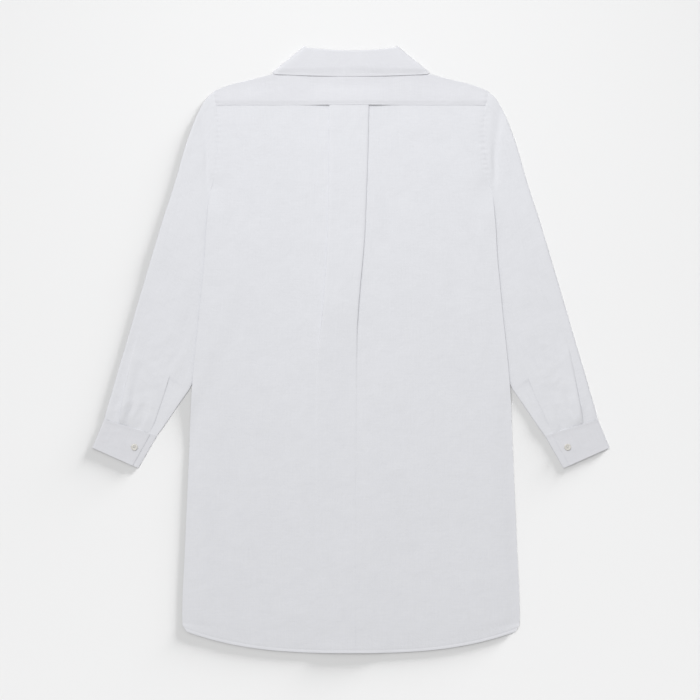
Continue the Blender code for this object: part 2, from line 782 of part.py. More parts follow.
def stand_end(last, side):
    """Columns that carry the stand past the centre, with a rounded top corner."""
    top, seam = last[0][0], last[-1][0]
    added = []
    for reach, drop in ((4.5, 2.0), (9.5, 6.0), (STAND_LAP, 13.0)):
        first = top + np.array([-side * (reach + abs(top[0])), drop, 0])
        final = seam + np.array([-side * reach, neck_front(reach) - NECK_FRONT, 0])
        shares = np.linspace(0, 1, len(last))
        added.append([(first + (final - first) * share, last[-1][1]) for share in shares])
    return added if side > 0 else added[::-1]


def make_button(name, across, down, height, material):
    """Flat button with a rounded rim and a shallow dish in its upper or lower face."""
    radius = BUTTON_ACROSS / 2
    profile = (
        (0.0, 0.0),
        (radius - 0.7, 0.0),
        (radius, 0.6),
        (radius, BUTTON_THICK - 0.6),
        (radius - 0.7, BUTTON_THICK),
        (radius - 1.7, BUTTON_THICK),
        (radius - 2.4, BUTTON_THICK - 0.4),
        (0.0, BUTTON_THICK - 0.4),
    )
    flip = height < CLOTH
    shape = bmesh.new()
    rings = []
    for out, up in profile:
        level = height + (BUTTON_THICK - up if flip else up)
        if out == 0:
            rings.append([shape.verts.new(placed(across, down, level) * 0.001)])
            continue
        turns = np.arange(BUTTON_SIDES) * 2 * math.pi / BUTTON_SIDES
        points = placed(across + out * np.cos(turns), down + out * np.sin(turns), level)
        rings.append([shape.verts.new(point * 0.001) for point in points])
    for lower, upper in zip(rings, rings[1:]):
        for index in range(BUTTON_SIDES):
            after = (index + 1) % BUTTON_SIDES
            loop = [lower[index % len(lower)], lower[after % len(lower)]]
            loop += [upper[after % len(upper)], upper[index % len(upper)]]
            shape.faces.new(dict.fromkeys(loop))
    mesh = bpy.data.meshes.new(name)
    shape.to_mesh(mesh)
    shape.free()
    return finished(name, mesh, material)


GARMENT = None


def main():
    global GARMENT
    for old in list(bpy.data.objects):
        bpy.data.objects.remove(old, do_unlink=True)
    GARMENT = bpy.data.collections.new("nightshirt")
    bpy.context.scene.collection.children.link(GARMENT)
    linen = finish_material("white_linen", CLOTH_COLOUR, 0.85)
    make_back(linen)
    make_yoke(linen)
    make_front("front_right", 1, (PLACKET_HALF + SEAM,), right_under, linen)
    make_front("front_left", -1, (2 - PLACKET_HALF, 0), left_under, linen)
    make_placket(linen)
    for side, word in ((1, "right"), (-1, "left")):
        make_sleeve(f"sleeve_{word}", side, linen)
        make_cuff(f"cuff_{word}", side, linen)
    make_collar(linen)
    pearl = finish_material("pearl_button", BUTTON_COLOUR, 0.3)
    for side, word in ((1, "right"), (-1, "left")):
        across, down = CUFF_BUTTON
        make_button(f"button_cuff_{word}", side * across, down, CUFF_TOP + SEAM, pearl)
    make_button("button_stand", 0, 108, COLLAR_LIFT - SEAM - BUTTON_THICK, pearl)
    for number in range(FRONT_BUTTONS):
        down = FIRST_FRONT_BUTTON + number * FRONT_BUTTON_STEP
        height = PLACKET_LIFT - SEAM - BUTTON_THICK
        make_button(f"button_front_{number + 1}", 0, down, height, pearl)


main()
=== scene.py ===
"""Looks of a long-sleeved nightshirt that lies flat on its front, with its back up.

Each piece of cloth is a thin sheet on the form of its solid: a coarse grid of sections,
made finer on a smooth surface, with creases, hems and puckers pressed into it. Shapes
are worked out in millimetres. "across" is the distance from the centre line, positive
on the wearer's right (+X). "down" is measured from the top of the collar (-Y).
"""

import math
from collections import namedtuple

import bpy
import numpy as np
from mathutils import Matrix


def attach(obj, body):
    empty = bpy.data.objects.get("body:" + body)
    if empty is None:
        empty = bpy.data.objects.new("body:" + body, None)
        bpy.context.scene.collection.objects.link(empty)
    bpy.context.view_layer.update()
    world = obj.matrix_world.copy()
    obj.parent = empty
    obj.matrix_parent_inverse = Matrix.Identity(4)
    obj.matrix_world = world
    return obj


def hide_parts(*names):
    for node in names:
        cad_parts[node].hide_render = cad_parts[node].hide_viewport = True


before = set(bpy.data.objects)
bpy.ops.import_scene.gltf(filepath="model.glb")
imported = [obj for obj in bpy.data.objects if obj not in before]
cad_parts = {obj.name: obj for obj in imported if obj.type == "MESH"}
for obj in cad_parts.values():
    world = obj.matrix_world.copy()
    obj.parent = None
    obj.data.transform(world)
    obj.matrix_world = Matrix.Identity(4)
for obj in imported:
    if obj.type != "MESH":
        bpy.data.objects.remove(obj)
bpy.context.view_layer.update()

# Driving sizes of the solids
LENGTH = 1002.0
CLOTH = 1.0
SEAM = 0.3
UNDERARM = 233.0
YOKE_EDGE = 97.5
YOKE_LAP = 7.0
HEM_TURN = 7.0
HEM_EXTRA = 0.5
PLACKET_HALF = 15.0
BUTTON_ACROSS = 11.0
BUTTON_THICK = 1.9
BUTTON_HOLE_AT = 1.05
RIM = 0.9
STAND_BUTTON = 108
FRONT_BUTTONS = 8
FIRST_FRONT_BUTTON = 168.0
FRONT_BUTTON_STEP = 88.0

# Heights of the layers
SLEEVE_TOP = 2.6
SLEEVE_LIFT = 3.3
COLLAR_LIFT = 2.6
PLACKET_LIFT = 2.2
CHEST_AIR = 3.6
CENTRE_AIR = 1.7
LAYER_AIR = 0.6
FOLD_RADIUS = 0.65

# Thickness of the sheets of cloth, one layer and two
ONE_LAYER = 0.45
TWO_LAYERS = 0.8

# Edges of a mesh that bend more than this are drawn sharp
SHARP_FROM = math.radians(50)
# Angles of the sections of a half round edge
ROUND = np.radians([45, 90, 135])
SIDES = ((1, "right"), (-1, "left"))

# Gathers along the armhole
GATHER_PITCH = 8.6
GATHER_HIGH = 0.5
GATHER_REACH = 5.5

# How far inside its edge each row of stitches runs
YOKE_SEAM = 2.2
YOKE_SECOND_SEAM = 6.0
LEAF_SEAM = 5.0
BACK_HEM_SEAM = 3.9
FRONT_HEM_SEAM = 4.8
BAND_SEAM = 4.0
CUFF_SEAM = 3.0
CUFF_EDGE_SEAM = 5.0
CUFF_LAP_SEAM = 4.0

# Size of the stitches, and what half a thread measures across and up
STITCH_PITCH = 3.0
STITCH_LENGTH = 2.1
FINE_PITCH = 2.6
FINE_LENGTH = 1.9
HALF_THREAD = (0.2, 0.14)

# Threads in a metre of cloth, and how uneven they are
THREADS = 2000.0
SLUBS = 0.5

# The picture: its pixels, the metres in each, the camera's place and the top of the cloth
PICTURE = 700
PIXEL = 0.00165
SENSOR = 36
CAMERA = (-0.00165, -0.0008, 3.2)
CLOTH_LEVEL = 0.005

# low_light falls only on the floor, for the garment's shadow
Light = namedtuple("Light", "name kind place aim settings")
LOW = {"angle": math.radians(17), "energy": 21}
HIGH = {"angle": math.radians(30), "energy": 1.25}
BROAD = {"size": 0.8, "energy": 3.15, "color": (0.96, 0.975, 1.0)}
LIGHTS = (
    Light("low_light", "SUN", (1.4, 1.4, 0.1), (0, 0, 0), LOW),
    Light("high_light", "SUN", (-0.3, 0.45, 1.0), (0, 0, 0), HIGH),
    Light("broad_light", "AREA", (-0.03, 0.8, 0.95), (0, 0.1, 0), BROAD),
)
SURROUND = 0.45
FLOOR_REACH = 4.0
# The floor's own light under the garment's middle, and its rise for each metre across and up
FLOOR_GLOW = 0.085
FLOOR_GLOW_RISE = (0.0, -0.06)

Edge = namedtuple("Edge", "down across")
Slope = namedtuple("Slope", "across down")
Pleat = namedtuple("Pleat", "down left right depth turn")
Chord = namedtuple(
    "Chord", "outer_across outer_down inner_across inner_down seam slit tuck depth turn lap"
)


def table(kind, *rows):
    """Rows of numbers, each under the names of kind's columns."""
    return tuple(kind(*row) for row in rows)


BODY_EDGE = table(
    Edge, (76, 226.5), (107, 220), (152, 217.7), (206, 223.5), (233, 229), (287, 235), (353, 242),
    (419, 248), (485, 255), (551, 261.5), (683, 267.7), (848, 275), (930, 278.5), (948, 278.5),
    (960, 276), (968, 270),
)
SHOULDER = table(
    Slope, (0, 12), (86, 33.5), (128, 46), (164, 55.3), (203, 65.2), (223, 73.4), (227, 76)
)
HEM_RISE = 35.5
HEM_CORNER = 272.0
HEM_POWER = 2.8

SLEEVE_INNER = table(
    Edge, (250, 236), (279, 235), (294, 232), (318, 223), (345, 212), (380, 206), (425, 210),
    (470, 224), (520, 244), (563, 264.4), (609, 295.8), (645, 320.5),
)
# Sections of the sleeve from the armhole to the cuff, as in the solids
SLEEVE_CHORDS = table(
    Chord,
    (226.9, 76.6, 229.6, 233.4, 1.0, 30, 40, 0, 2, 0),
    (235, 82, 231.4, 243, 0.6, 30, 40, 0, 2, 0),
    (241, 89.5, 232.9, 254, 0.25, 30, 40, 0, 2, 0),
    (248, 101, 234.1, 266, 0, 30, 40, 0, 2, 0),
    (258, 122, 235, 279, 0, 30, 40, 0, 2, 0),
    (273, 163, 232.2, 294, 0, 30, 40, 0, 2, 0),
    (285, 205, 223, 318, 0, 30, 40, 0, 2, 0),
    (296, 241, 212, 345, 0, 32, 40, 0, 2, 0),
    (312, 290, 206, 380, 0, 34, 40, 0, 2, 0),
    (330, 350, 210, 425, 0, 36, 40, 0, 2, 0),
    (343, 394, 225, 473, 0, 36, 30, 0, 2, 0),
    (357, 441, 245, 522, 0, 36, 20, 0, 4, 0),
    (371, 490, 267, 567, 0, 34.8, 15.5, 0, 22, 0),
    (374, 500, 270, 571.5, 0, 33, 15.8, 0.3, 35, 2.5),
    (383, 530, 281, 587, 0, 26.9, 17.5, 0.3, 45, 7),
    (396, 575, 298, 612, 0, 20, 20.5, 1.0, 120, 12),
    (404, 602, 311, 631, 0, 15, 23, 3, 170, 13),
    (407.3, 616, 320, 643, 0, 12.6, 24, 6, 180, 13),
)
SLIT_SHIFT = 8.0
# Where the inner edge comes down to the floor, and how far in its heights are read
SLEEVE_SETTLES = (385, 500)
FROM_EDGE = 1.8
CUFF_PUFF = 1.0

BOX_PLEAT = table(
    Pleat,
    (90, -35.6, 29.5, 26, 180),
    (200, -35.8, 26.8, 22, 180),
    (320, -38.3, 22, 13, 180),
    (420, -44, 12.5, 1.6, 165),
    (480, -51, 8.5, 0.3, 50),
    (535, -54, 7.5, 0.3, 22),
    (610, -55, 7, 0.3, 12),
    (700, -55, 6, 0.3, 6),
    (1002, -55, 6, 0.3, 2),
)

ROLL_CORNER = (76.0, 0.0)
ROLL_DIP = 8.3
LEAF_TIP = (129.0, 43.7)
LEAF_BACK = 50.3
LEAF_POINT = (62.0, 141.0)
LEAF_FRONT = (4.0, 92.0)
NECK_SIDE = (86.0, 33.5)
NECK_BACK = 44.0
NECK_FRONT = 122.0
STAND_LAP = 13.0
LEAF_HIGH = 7.6
LEAF_LIFT = 1.6
LEAF_LOW = 0.5
ROLL_RADIUS = 1.6

CUFF_OUTER = np.array([(407.5, 616.4), (427.0, 663.0)])
CUFF_INNER = np.array([(320.2, 643.4), (351.0, 697.0)])
CUFF_LAP_AT = 0.125
CUFF_UNDERLAP = 26.0
CUFF_BUTTON = (357.5, 662.0)
CUFF_TOP = 3.6
PAST_CUFF = 700

SIDE_ROWS = (
    233, 252, 276, 305, 345, 390, 440, 490, 535, 570, 605, 650, 710, 775, 840, 900, 932, 948,
)
ARMHOLE_ROWS = 6
HEM_ROWS = 3
BACK_NECK_COLUMNS = (0, 19, 37.5, 47, 66, 86)
FRONT_NECK_COLUMNS = (22.3, 43, 60.8, 74.5, 83.07, 86)
OUTER_SHARES = (0.46, 0.55, 0.64, 0.72, 0.79, 0.86, 0.92, 0.97, 1.0)


# Curves and heights

def cubic(low, high, leaving, arriving, share):
    """A curve from low to high with those slopes at its ends, for each share of the way."""
    rise = share * share * (3 - 2 * share)
    leave, arrive = share * (1 - share) ** 2, share * share * (share - 1)
    return low * (1 - rise) + high * rise + leave * leaving + arrive * arriving


def follow(rows, value):
    """Reads a two-column table at value, on a cubic curve through its rows."""
    keys, numbers = np.array(rows, float).T
    slopes = np.gradient(numbers, keys)
    value = np.clip(np.asarray(value, float), keys[0], keys[-1])
    low = np.clip(np.searchsorted(keys, value, side="right") - 1, 0, len(keys) - 2)
    span = keys[low + 1] - keys[low]
    share = (value - keys[low]) / span
    return cubic(numbers[low], numbers[low + 1], span * slopes[low], span * slopes[low + 1], share)


def ease(start, end, value):
    """0 up to start, 1 from end, and a smooth rise between them."""
    share = np.clip((np.asarray(value, float) - start) / (end - start), 0, 1)
    return share * share * (3 - 2 * share)


def bend(first, middle, last, share):
    """Point on the curve that leaves first and reaches last, drawn towards middle."""
    share = np.asarray(share, float)[..., None]
    first, middle, last = (np.array(point, float) for point in (first, middle, last))
    return first * (1 - share) ** 2 + middle * 2 * share * (1 - share) + last * share**2


def half_width(down):
    """Half the body's width, armhole or side seam, at that height."""
    return follow(BODY_EDGE, down)


def shoulder(across):
    """down of the shoulder line."""
    return follow(SHOULDER, np.abs(across))


def hem(across):
    """down of the hem: its middle hangs lowest and it rises to the corners."""
    return LENGTH - HEM_RISE * np.abs(np.asarray(across) / HEM_CORNER) ** HEM_POWER


def neck_front(across):
    """down of the front neck seam, a quarter of an ellipse on each side."""
    share = np.clip(np.abs(across) / NECK_SIDE[0], 0, 1)
    return NECK_SIDE[1] + (NECK_FRONT - NECK_SIDE[1]) * np.sqrt(1 - share**2)


def neck_back(across):
    """down of the back neck seam, a shallow curve."""
    share = np.clip(np.abs(across) / NECK_SIDE[0], 0, 1)
    return NECK_BACK - (NECK_BACK - NECK_SIDE[1]) * share**2.5


def collar_lift(across, down):
    """How far the folded collar under it holds the front off the floor."""
    reach = np.hypot(np.asarray(across) / 150, (np.asarray(down) - 30) / 135)
    return COLLAR_LIFT * (1 - ease(0.70, 1.30, reach))


def sleeve_lift(across, down):
    """How far the sleeve under it holds the side of the front off the floor."""
    inner = follow(SLEEVE_INNER, down)
    over_sleeve = ease(inner - 42, inner - 14, np.abs(across))
    return SLEEVE_LIFT * over_sleeve * ease(228, 276, down)


def placket_lift(down):
    """Underside of the buttonhole band, held up by its buttons and the collar."""
    return np.maximum(PLACKET_LIFT, collar_lift(0, down))


def under_of_front(band, across, down):
    """Underside of a front: the highest of what lies under it."""
    others = [collar_lift(across, down), sleeve_lift(across, down)]
    return np.maximum.reduce([band, *others])


def right_under(across, down):
    """Underside of the right front, blended into the band along its edge."""
    band = placket_lift(down) * (1 - ease(18, 48, np.abs(across)))
    return under_of_front(band, across, down)


def left_under(across, down):
    """Underside of the left front, which lies on the band at the centre."""
    band = placket_lift(down) + CLOTH + SEAM
    band = band * (1 - ease(20, 62, -np.asarray(across, float)))
    return under_of_front(band, across, down)


def turned(across, down):
    """Extra thickness of the turned hem."""
    return HEM_EXTRA * (hem(across) - down < HEM_TURN + 0.01)


def edge_distance(across, down):
    """How far a point is inside the body's closed edges: shoulder, side and hem."""
    across, down = np.abs(across), np.asarray(down, float)
    side = half_width(np.maximum(down, UNDERARM)) - across
    to_side = np.hypot(side, np.maximum(UNDERARM - down, 0))
    return np.minimum.reduce([down - shoulder(across), to_side, hem(across) - down])


def back_under(across, down):
    """Underside of the back: over the fronts, close to them at the edges."""
    right = right_under(across, down) * (np.abs(across) > PLACKET_HALF)
    front_top = CLOTH + np.maximum(right, left_under(-np.abs(across), down))
    front_top = front_top + turned(across, down)
    centre = np.exp(-((np.asarray(across) / 70) ** 2))
    open_part = np.maximum(CHEST_AIR + CENTRE_AIR * centre, front_top + LAYER_AIR)
    closed_part = front_top + SEAM + 0.5 * centre
    inside = ease(0, 34, edge_distance(across, down))
    return closed_part * (1 - inside) + open_part * inside


def folds(turn, depth):
    """Middle of the wall through a fold under and back again, in cloth turned by turn.

    Each row is how far out it is, how far down and how far the wall leans.
    """
    radius = FOLD_RADIUS * math.pi / turn
    rows = []
    for angle in turn * np.array([1, 2, 3]) / 3:
        rows.append((radius * math.sin(angle), radius * (1 - math.cos(angle)), angle))
    out, drop, _ = rows[-1]
    out, drop = out + depth * math.cos(turn), drop + depth * math.sin(turn)
    rows.append((out, drop, turn))
    for angle in turn * np.array([2, 1, 0]) / 3:
        bend_out = out + radius * (math.sin(turn) - math.sin(angle))
        bend_drop = drop + radius * (math.cos(angle) - math.cos(turn))
        rows.append((bend_out, bend_drop, angle))
    return np.array(rows)


def pleat_at(down):
    """The box pleat's section at one height of the garment."""
    downs, *columns = np.array(BOX_PLEAT, float).T
    return Pleat(down, *(float(np.interp(down, downs, column)) for column in columns))


def pleat_height(down):
    """Height of the box pleat's top layer over its lowest one."""
    pleat = pleat_at(down)
    return folds(math.radians(pleat.turn), pleat.depth)[-1, 1]


def yoke_under(across, down):
    """The yoke lies on the back's top edge, and on the pleat there."""
    across = np.asarray(across, float)
    over_pleat = ease(-82, -36, across) * (1 - ease(36, 82, across))
    lap = CLOTH + 1.5 * SEAM + pleat_height(YOKE_EDGE) * over_pleat
    return back_under(across, down) + lap * ease(62, YOKE_EDGE - YOKE_LAP - 1, down)


def placed(across, down, height):
    """Points in millimetres on the world's axes, in the last axis of an array."""
    up = LENGTH / 2 - np.asarray(down, float)
    return np.stack(np.broadcast_arrays(across, up, height), -1)


def place_of(points):
    """across and down of points on the world's axes."""
    return points[..., 0], LENGTH / 2 - points[..., 1]


def flat_wall(across, down, height, thick=CLOTH):
    """Both faces of a wall that lies flat, from its underside."""
    return placed(across, down, height), placed(across, down, height + thick)


def wall_round(middle, normal, side=1):
    """Both faces of a wall, from its middle and its normals."""
    both = (middle - normal * CLOTH / 2, middle + normal * CLOTH / 2)
    return [placed(side * face[..., 0], face[..., 1], face[..., 2]) for face in both]


def corners_of(grid):
    """The four corners of each cell of a grid."""
    corners = (grid[:-1, :-1], grid[:-1, 1:], grid[1:, 1:], grid[1:, :-1])
    return np.stack(corners, 2).reshape(-1, 4, *grid.shape[2:])


# Sheets of cloth

def finer(sheet, step, axis):
    """Points between a grid's rows, on a cubic curve through each column of them.

    Each interval is cut into equal parts, none longer than step, which is one number or
    one for each interval. The slopes come from the rows on either side, weighed by the
    roots of their distances, so that a long flat stretch beside a tight fold stays flat.
    Returns the grid, and where the coarse rows are in it.
    """
    sheet = np.moveaxis(sheet, axis, 0)
    lengths = np.linalg.norm(np.diff(sheet, axis=0), axis=-1)
    lengths = lengths.reshape(len(lengths), -1)
    keys = np.concatenate([[0], np.cumsum(np.sqrt(lengths.mean(axis=1) + 1e-6))])
    slopes = np.gradient(sheet, keys, axis=0)
    parts = np.maximum(1, np.ceil(lengths.max(axis=1) / step)).astype(int)
    starts = np.concatenate([[0], np.cumsum(parts)])
    low = np.repeat(np.arange(len(parts)), parts)
    share = (np.arange(starts[-1]) - starts[low]) / parts[low]
    low = np.append(low, len(parts) - 1)
    share = np.append(share, 1.0)
    shape = (-1,) + (1,) * (sheet.ndim - 1)
    share = share.reshape(shape)
    span = np.diff(keys)[low].reshape(shape)
    fine = cubic(sheet[low], sheet[low + 1], slopes[low] * span, slopes[low + 1] * span, share)
    return np.moveaxis(fine, 0, axis), starts


def cloth_lengths(points):
    """How far each point is along its row and its column of cloth, in metres."""
    steps = np.linalg.norm(np.diff(points, axis=1), axis=-1).mean(axis=0)
    rows = np.linalg.norm(np.diff(points, axis=0), axis=-1).mean(axis=1)
    along = np.concatenate([[0], np.cumsum(steps)]) * 0.001
    down = np.concatenate([[0], np.cumsum(rows)]) * 0.001
    return np.stack(np.meshgrid(along, -down), -1)


# The face of each sheet and its normals, for the stitches on it
SURFACES = {}


def row_steps(walls, step, changes):
    """One step for each interval between a wall's rows: changes holds other values."""
    steps = np.full(len(walls[0]) - 1, float(step))
    for rows, other in changes:
        steps[rows] = other
    return steps


def reaching(walls, amount, drop):
    """Moves a body piece's outermost columns out, and down, by amounts for each place."""
    moved = []
    for grid in walls:
        grid = grid.copy()
        for column in (0, -1):
            edge = grid[:, column]
            down = LENGTH / 2 - edge[:, 1]
            edge[:, 0] += np.sign(edge[:, 0]) * amount(down)
            edge[:, 2] -= drop(down)
        moved.append(grid)
    return moved


def sheet_of_cloth(name, walls, relief, thick=ONE_LAYER, face=1, step=3.5, rows=None, closed_rows=0):
    """A closed thin sheet on one face of a wall that two grids of points bound.

    face is 1 for the wall's upper or outer side and 0 for the other. relief gives how
    far the creases move each point out of the face. The other side of the sheet lies
    thick under it. rows gives other steps between the rows than between the columns.
    In the first closed_rows rows the sheet is a tube.
    """
    walls = np.stack(walls, axis=2)
    walls, row_starts = finer(walls, step if rows is None else rows, 0)
    walls, _ = finer(walls, step, 1)
    slit = row_starts[closed_rows - 1] if closed_rows else 0
    outer, inner = walls[:, :, face], walls[:, :, 1 - face]
    out = outer - inner
    out /= np.linalg.norm(out, axis=-1, keepdims=True)
    outer = outer + out * relief(outer, out)[..., None]
    inner = outer - out * thick
    for points in (outer, inner):
        points[..., 2] = np.maximum(points[..., 2], 0)
    SURFACES[name] = (outer, out)
    other = outer[..., 0].size
    index = np.arange(other).reshape(outer.shape[:2])
    if closed_rows:
        index[: slit + 1, -1] = index[: slit + 1, 0]
    lengths = cloth_lengths(outer)
    skin, laid = corners_of(index), corners_of(lengths)
    faces, maps = [skin, skin[:, ::-1] + other], [laid, laid[:, ::-1]]
    flat_lengths = lengths.reshape(-1, 2)
    edges = (index[0], index[-1][::-1], index[slit:, 0][::-1], index[slit:, -1])
    for edge in edges:
        rim = np.stack([edge[1:], edge[:-1], edge[:-1] + other, edge[1:] + other], -1)
        faces.append(rim)
        maps.append(flat_lengths[rim % other])
    faces, maps = np.concatenate(faces), np.concatenate(maps)
    points = np.concatenate([outer.reshape(-1, 3), inner.reshape(-1, 3)])
    return piece_of(f"{name}_cloth", points, faces, maps)


def piece_of(name, points, faces, maps=None):
    """A mesh object at the origin, from points in millimetres and faces of four corners."""
    used, faces = np.unique(faces, return_inverse=True)
    faces = faces.reshape(-1, 4)
    points = points[used] * 0.001
    corners = points[faces]
    normal = np.cross(corners[:, 2] - corners[:, 0], corners[:, 3] - corners[:, 1])
    if (normal * corners.mean(axis=1)).sum() < 0:
        faces = faces[:, ::-1]
        maps = None if maps is None else maps[:, ::-1]
    mesh = bpy.data.meshes.new(name)
    mesh.vertices.add(len(points))
    mesh.vertices.foreach_set("co", points.astype(np.float32).ravel())
    mesh.loops.add(faces.size)
    mesh.loops.foreach_set("vertex_index", faces.astype(np.int32).ravel())
    mesh.polygons.add(len(faces))
    mesh.polygons.foreach_set("loop_start", np.arange(0, faces.size, 4, dtype=np.int32))
    if maps is not None:
        layer = mesh.uv_layers.new(name="cloth")
        layer.data.foreach_set("uv", maps.astype(np.float32).ravel())
    mesh.update(calc_edges=True)
    mesh.validate()
    mesh.shade_smooth()
    mesh.set_sharp_from_angle(angle=SHARP_FROM)
    piece = bpy.data.objects.new(name, mesh)
    bpy.context.scene.collection.objects.link(piece)
    return piece


# Creases

Crease = namedtuple("Crease", "across down to_across to_down bow width height")

# Soft troughs and ridges of the back, as it lies in the photo
BACK_CREASES = table(
    Crease,
    (-52, 330, -78, 800, 6, 70, 0.9),
    (-2, 480, -22, 860, -6, 44, -0.9),
    (26, 300, 18, 620, 4, 36, -0.6),
    (60, 560, 40, 930, 8, 70, 0.7),
    (-118, 180, -96, 640, -6, 60, -0.5),
    (-170, 140, -150, 700, 8, 80, 0.8),
    (132, 150, 150, 600, -8, 80, 0.7),
    (188, 260, 215, 760, 6, 50, -0.5),
    (-215, 420, -225, 860, -5, 46, -0.5),
    (110, 640, 150, 960, 6, 60, -0.6),
    (-120, 700, -150, 960, -6, 60, -0.5),
    (-190, 320, -134, 268, 5, 9, 0.35),
    (-182, 300, -128, 250, 4, 9, -0.3),
    (-150, 366, -90, 342, 4, 10, -0.3),
    (-120, 440, -50, 470, 5, 12, 0.35),
    (-112, 456, -56, 482, -4, 10, -0.3),
    (150, 420, 205, 442, 5, 11, 0.35),
    (158, 436, 200, 452, -4, 9, -0.3),
    (96, 210, 60, 330, 6, 14, -0.25),
    (-24, 150, -40, 310, -3, 12, 0.2),
    (-160, 560, -80, 536, 8, 16, 0.35),
    (-190, 640, -120, 668, -6, 13, -0.3),
    (40, 700, 110, 690, 6, 12, 0.3),
    (150, 720, 220, 706, 5, 13, -0.3),
    (-60, 760, 20, 782, -5, 14, 0.3),
    (-230, 800, -160, 822, 6, 16, 0.35),
    (60, 850, 140, 828, -6, 15, -0.35),
    (-110, 880, -30, 868, 5, 14, -0.3),
    (170, 890, 240, 868, 5, 14, 0.35),
    (0, 620, 60, 640, 4, 11, -0.22),
)
# The same kind of creases on the fronts, which lie on the floor
FRONT_CREASES = table(
    Crease,
    (-150, 160, -60, 200, 8, 14, 0.5),
    (-190, 260, -120, 500, 10, 40, 0.7),
    (-90, 420, -70, 760, -8, 34, 0.6),
    (-220, 640, -150, 900, 8, 36, 0.6),
    (-120, 600, -60, 640, 4, 12, 0.4),
    (-180, 780, -90, 760, 6, 14, 0.4),
    (150, 150, 70, 210, -8, 14, 0.5),
    (180, 280, 110, 540, -10, 40, 0.7),
    (80, 460, 96, 800, 8, 34, 0.6),
    (215, 600, 170, 880, -8, 36, 0.6),
    (110, 560, 190, 590, 5, 13, 0.4),
    (70, 820, 150, 846, -5, 14, 0.4),
)
# Creases of a visible sleeve, on the wearer's right; the left is their mirror image
SLEEVE_CREASES = table(
    Crease,
    (247, 70, 231, 252, -2, 9, -1.5),
    (257, 96, 246, 250, 2, 10, 0.3),
    (250, 110, 262, 330, 3, 16, -0.5),
    (282, 230, 330, 470, -6, 26, 0.6),
    (300, 330, 356, 520, 6, 22, -0.45),
    (258, 380, 300, 500, -8, 16, 0.45),
    (262, 430, 312, 548, 6, 10, -0.5),
    (292, 470, 340, 500, 5, 8, 0.4),
    (300, 500, 352, 530, 5, 7, -0.4),
    (296, 540, 340, 556, -4, 7, 0.4),
    (318, 566, 372, 572, 4, 7, -0.35),
    (330, 590, 376, 584, 3, 6, 0.4),
    (346, 540, 360, 622, 3, 8, 0.8),
    (358, 560, 371, 626, 2, 7, -0.7),
    (340, 590, 352, 645, 2, 7, -0.8),
    (328, 585, 341, 652, -2, 8, 0.8),
    (372, 575, 382, 622, 2, 8, 0.7),
    (388, 580, 391, 616, 2, 7, -0.7),
    (304, 596, 322, 646, 3, 8, 0.6),
    (310, 560, 352, 540, 5, 9, 0.6),
)
SLEEVE_UNDER_CREASES = table(
    Crease,
    (260, 160, 300, 330, 6, 20, -0.5),
    (290, 300, 350, 500, -6, 22, -0.6),
    (270, 420, 330, 560, 6, 14, -0.5),
    (330, 520, 372, 600, 4, 10, -0.4),
)


def waves(x, y, size, seed):
    """Smooth uneven height from -1 to 1: crossing sine waves of about that length."""
    turns = np.random.default_rng(seed)
    total = np.zeros_like(x)
    for _ in range(9):
        angle = turns.uniform(0, 2 * math.pi)
        length = size * turns.uniform(0.7, 1.5)
        along = (x * math.cos(angle) + y * math.sin(angle)) * 2 * math.pi / length
        total += np.sin(along + turns.uniform(0, 2 * math.pi))
    return total / 4


def pressed(creases, x, y):
    """Height of soft creases, each a curved line from one point to another.

    A crease is a bell curve across its line. It fades at both ends, and its width and
    height wander a little on the way.
    """
    total = np.zeros_like(x)
    for number, crease in enumerate(creases):
        run_x, run_y = crease.to_across - crease.across, crease.to_down - crease.down
        length = math.hypot(run_x, run_y)
        away_x, away_y = x - crease.across, y - crease.down
        along = (away_x * run_x + away_y * run_y) / length**2
        aside = (away_x * -run_y + away_y * run_x) / length
        share = np.clip(along, 0, 1)
        aside = aside - crease.bow * 4 * share * (1 - share)
        aside = aside + 0.3 * crease.width * np.sin(9 * share + number)
        beyond = np.maximum(np.abs(along - 0.5) - 0.5, 0) * length
        width = crease.width * (1 + 0.25 * np.sin(7 * share + 2 * number))
        fade = np.sin(np.pi * np.clip(share, 0.02, 0.98)) ** 0.8
        ridge = np.exp(-(aside**2 + beyond**2) / (2 * (width / 2) ** 2))
        total += crease.height * (1 + 0.3 * np.sin(11 * share + number)) * fade * ridge
    return total


def crumple(x, down):
    """Fine unevenness of washed linen, in three sizes, in millimetres."""
    sizes = ((0.16, 70, 1), (0.07, 26, 2), (0.035, 12, 8))
    return sum(height * waves(x, down, size, seed) for height, size, seed in sizes)


def away_from_start(points, axis):
    """How far each point of a grid is from its first one, along that axis."""
    steps = np.linalg.norm(np.diff(points, axis=axis), axis=-1)
    shape = list(points.shape[:2])
    shape[axis] = 1
    return np.concatenate([np.zeros(shape), np.cumsum(steps, axis=axis)], axis=axis)


def bell(distance, width, height=1.0):
    """A bell curve about a line."""
    return height * np.exp(-((distance / width) ** 2))


def sewn_edge(distance, inset, rise=0.22):
    """Relief of an edge with a seam inside it: full up to the stitches, dented there."""
    return rise * (1 - ease(inset - 0.6, inset + 2.5, distance)) - bell(distance - inset, 0.7, 0.2)


def puckers(x, down):
    """Small gathers across the armhole seam, with a dent along the seam itself."""
    aside = np.abs(x) - half_width(down)
    wander = 1.6 * np.sin(down / 17) + 1.1 * np.sin(down / 6.1 + 1)
    turns = (down + wander) * 2 * math.pi / GATHER_PITCH
    beads = np.sin(turns) * (0.75 + 0.25 * np.sin(down / 23))
    left_fade = np.where(x < 0, 1 - 0.6 * ease(125, 165, down), 1)
    near = bell(aside, GATHER_REACH) * (1 - ease(205, 240, down)) * left_fade
    dent = bell(aside, 1.3, 0.3) * (down < UNDERARM + 4)
    return GATHER_HIGH * beads * near - dent


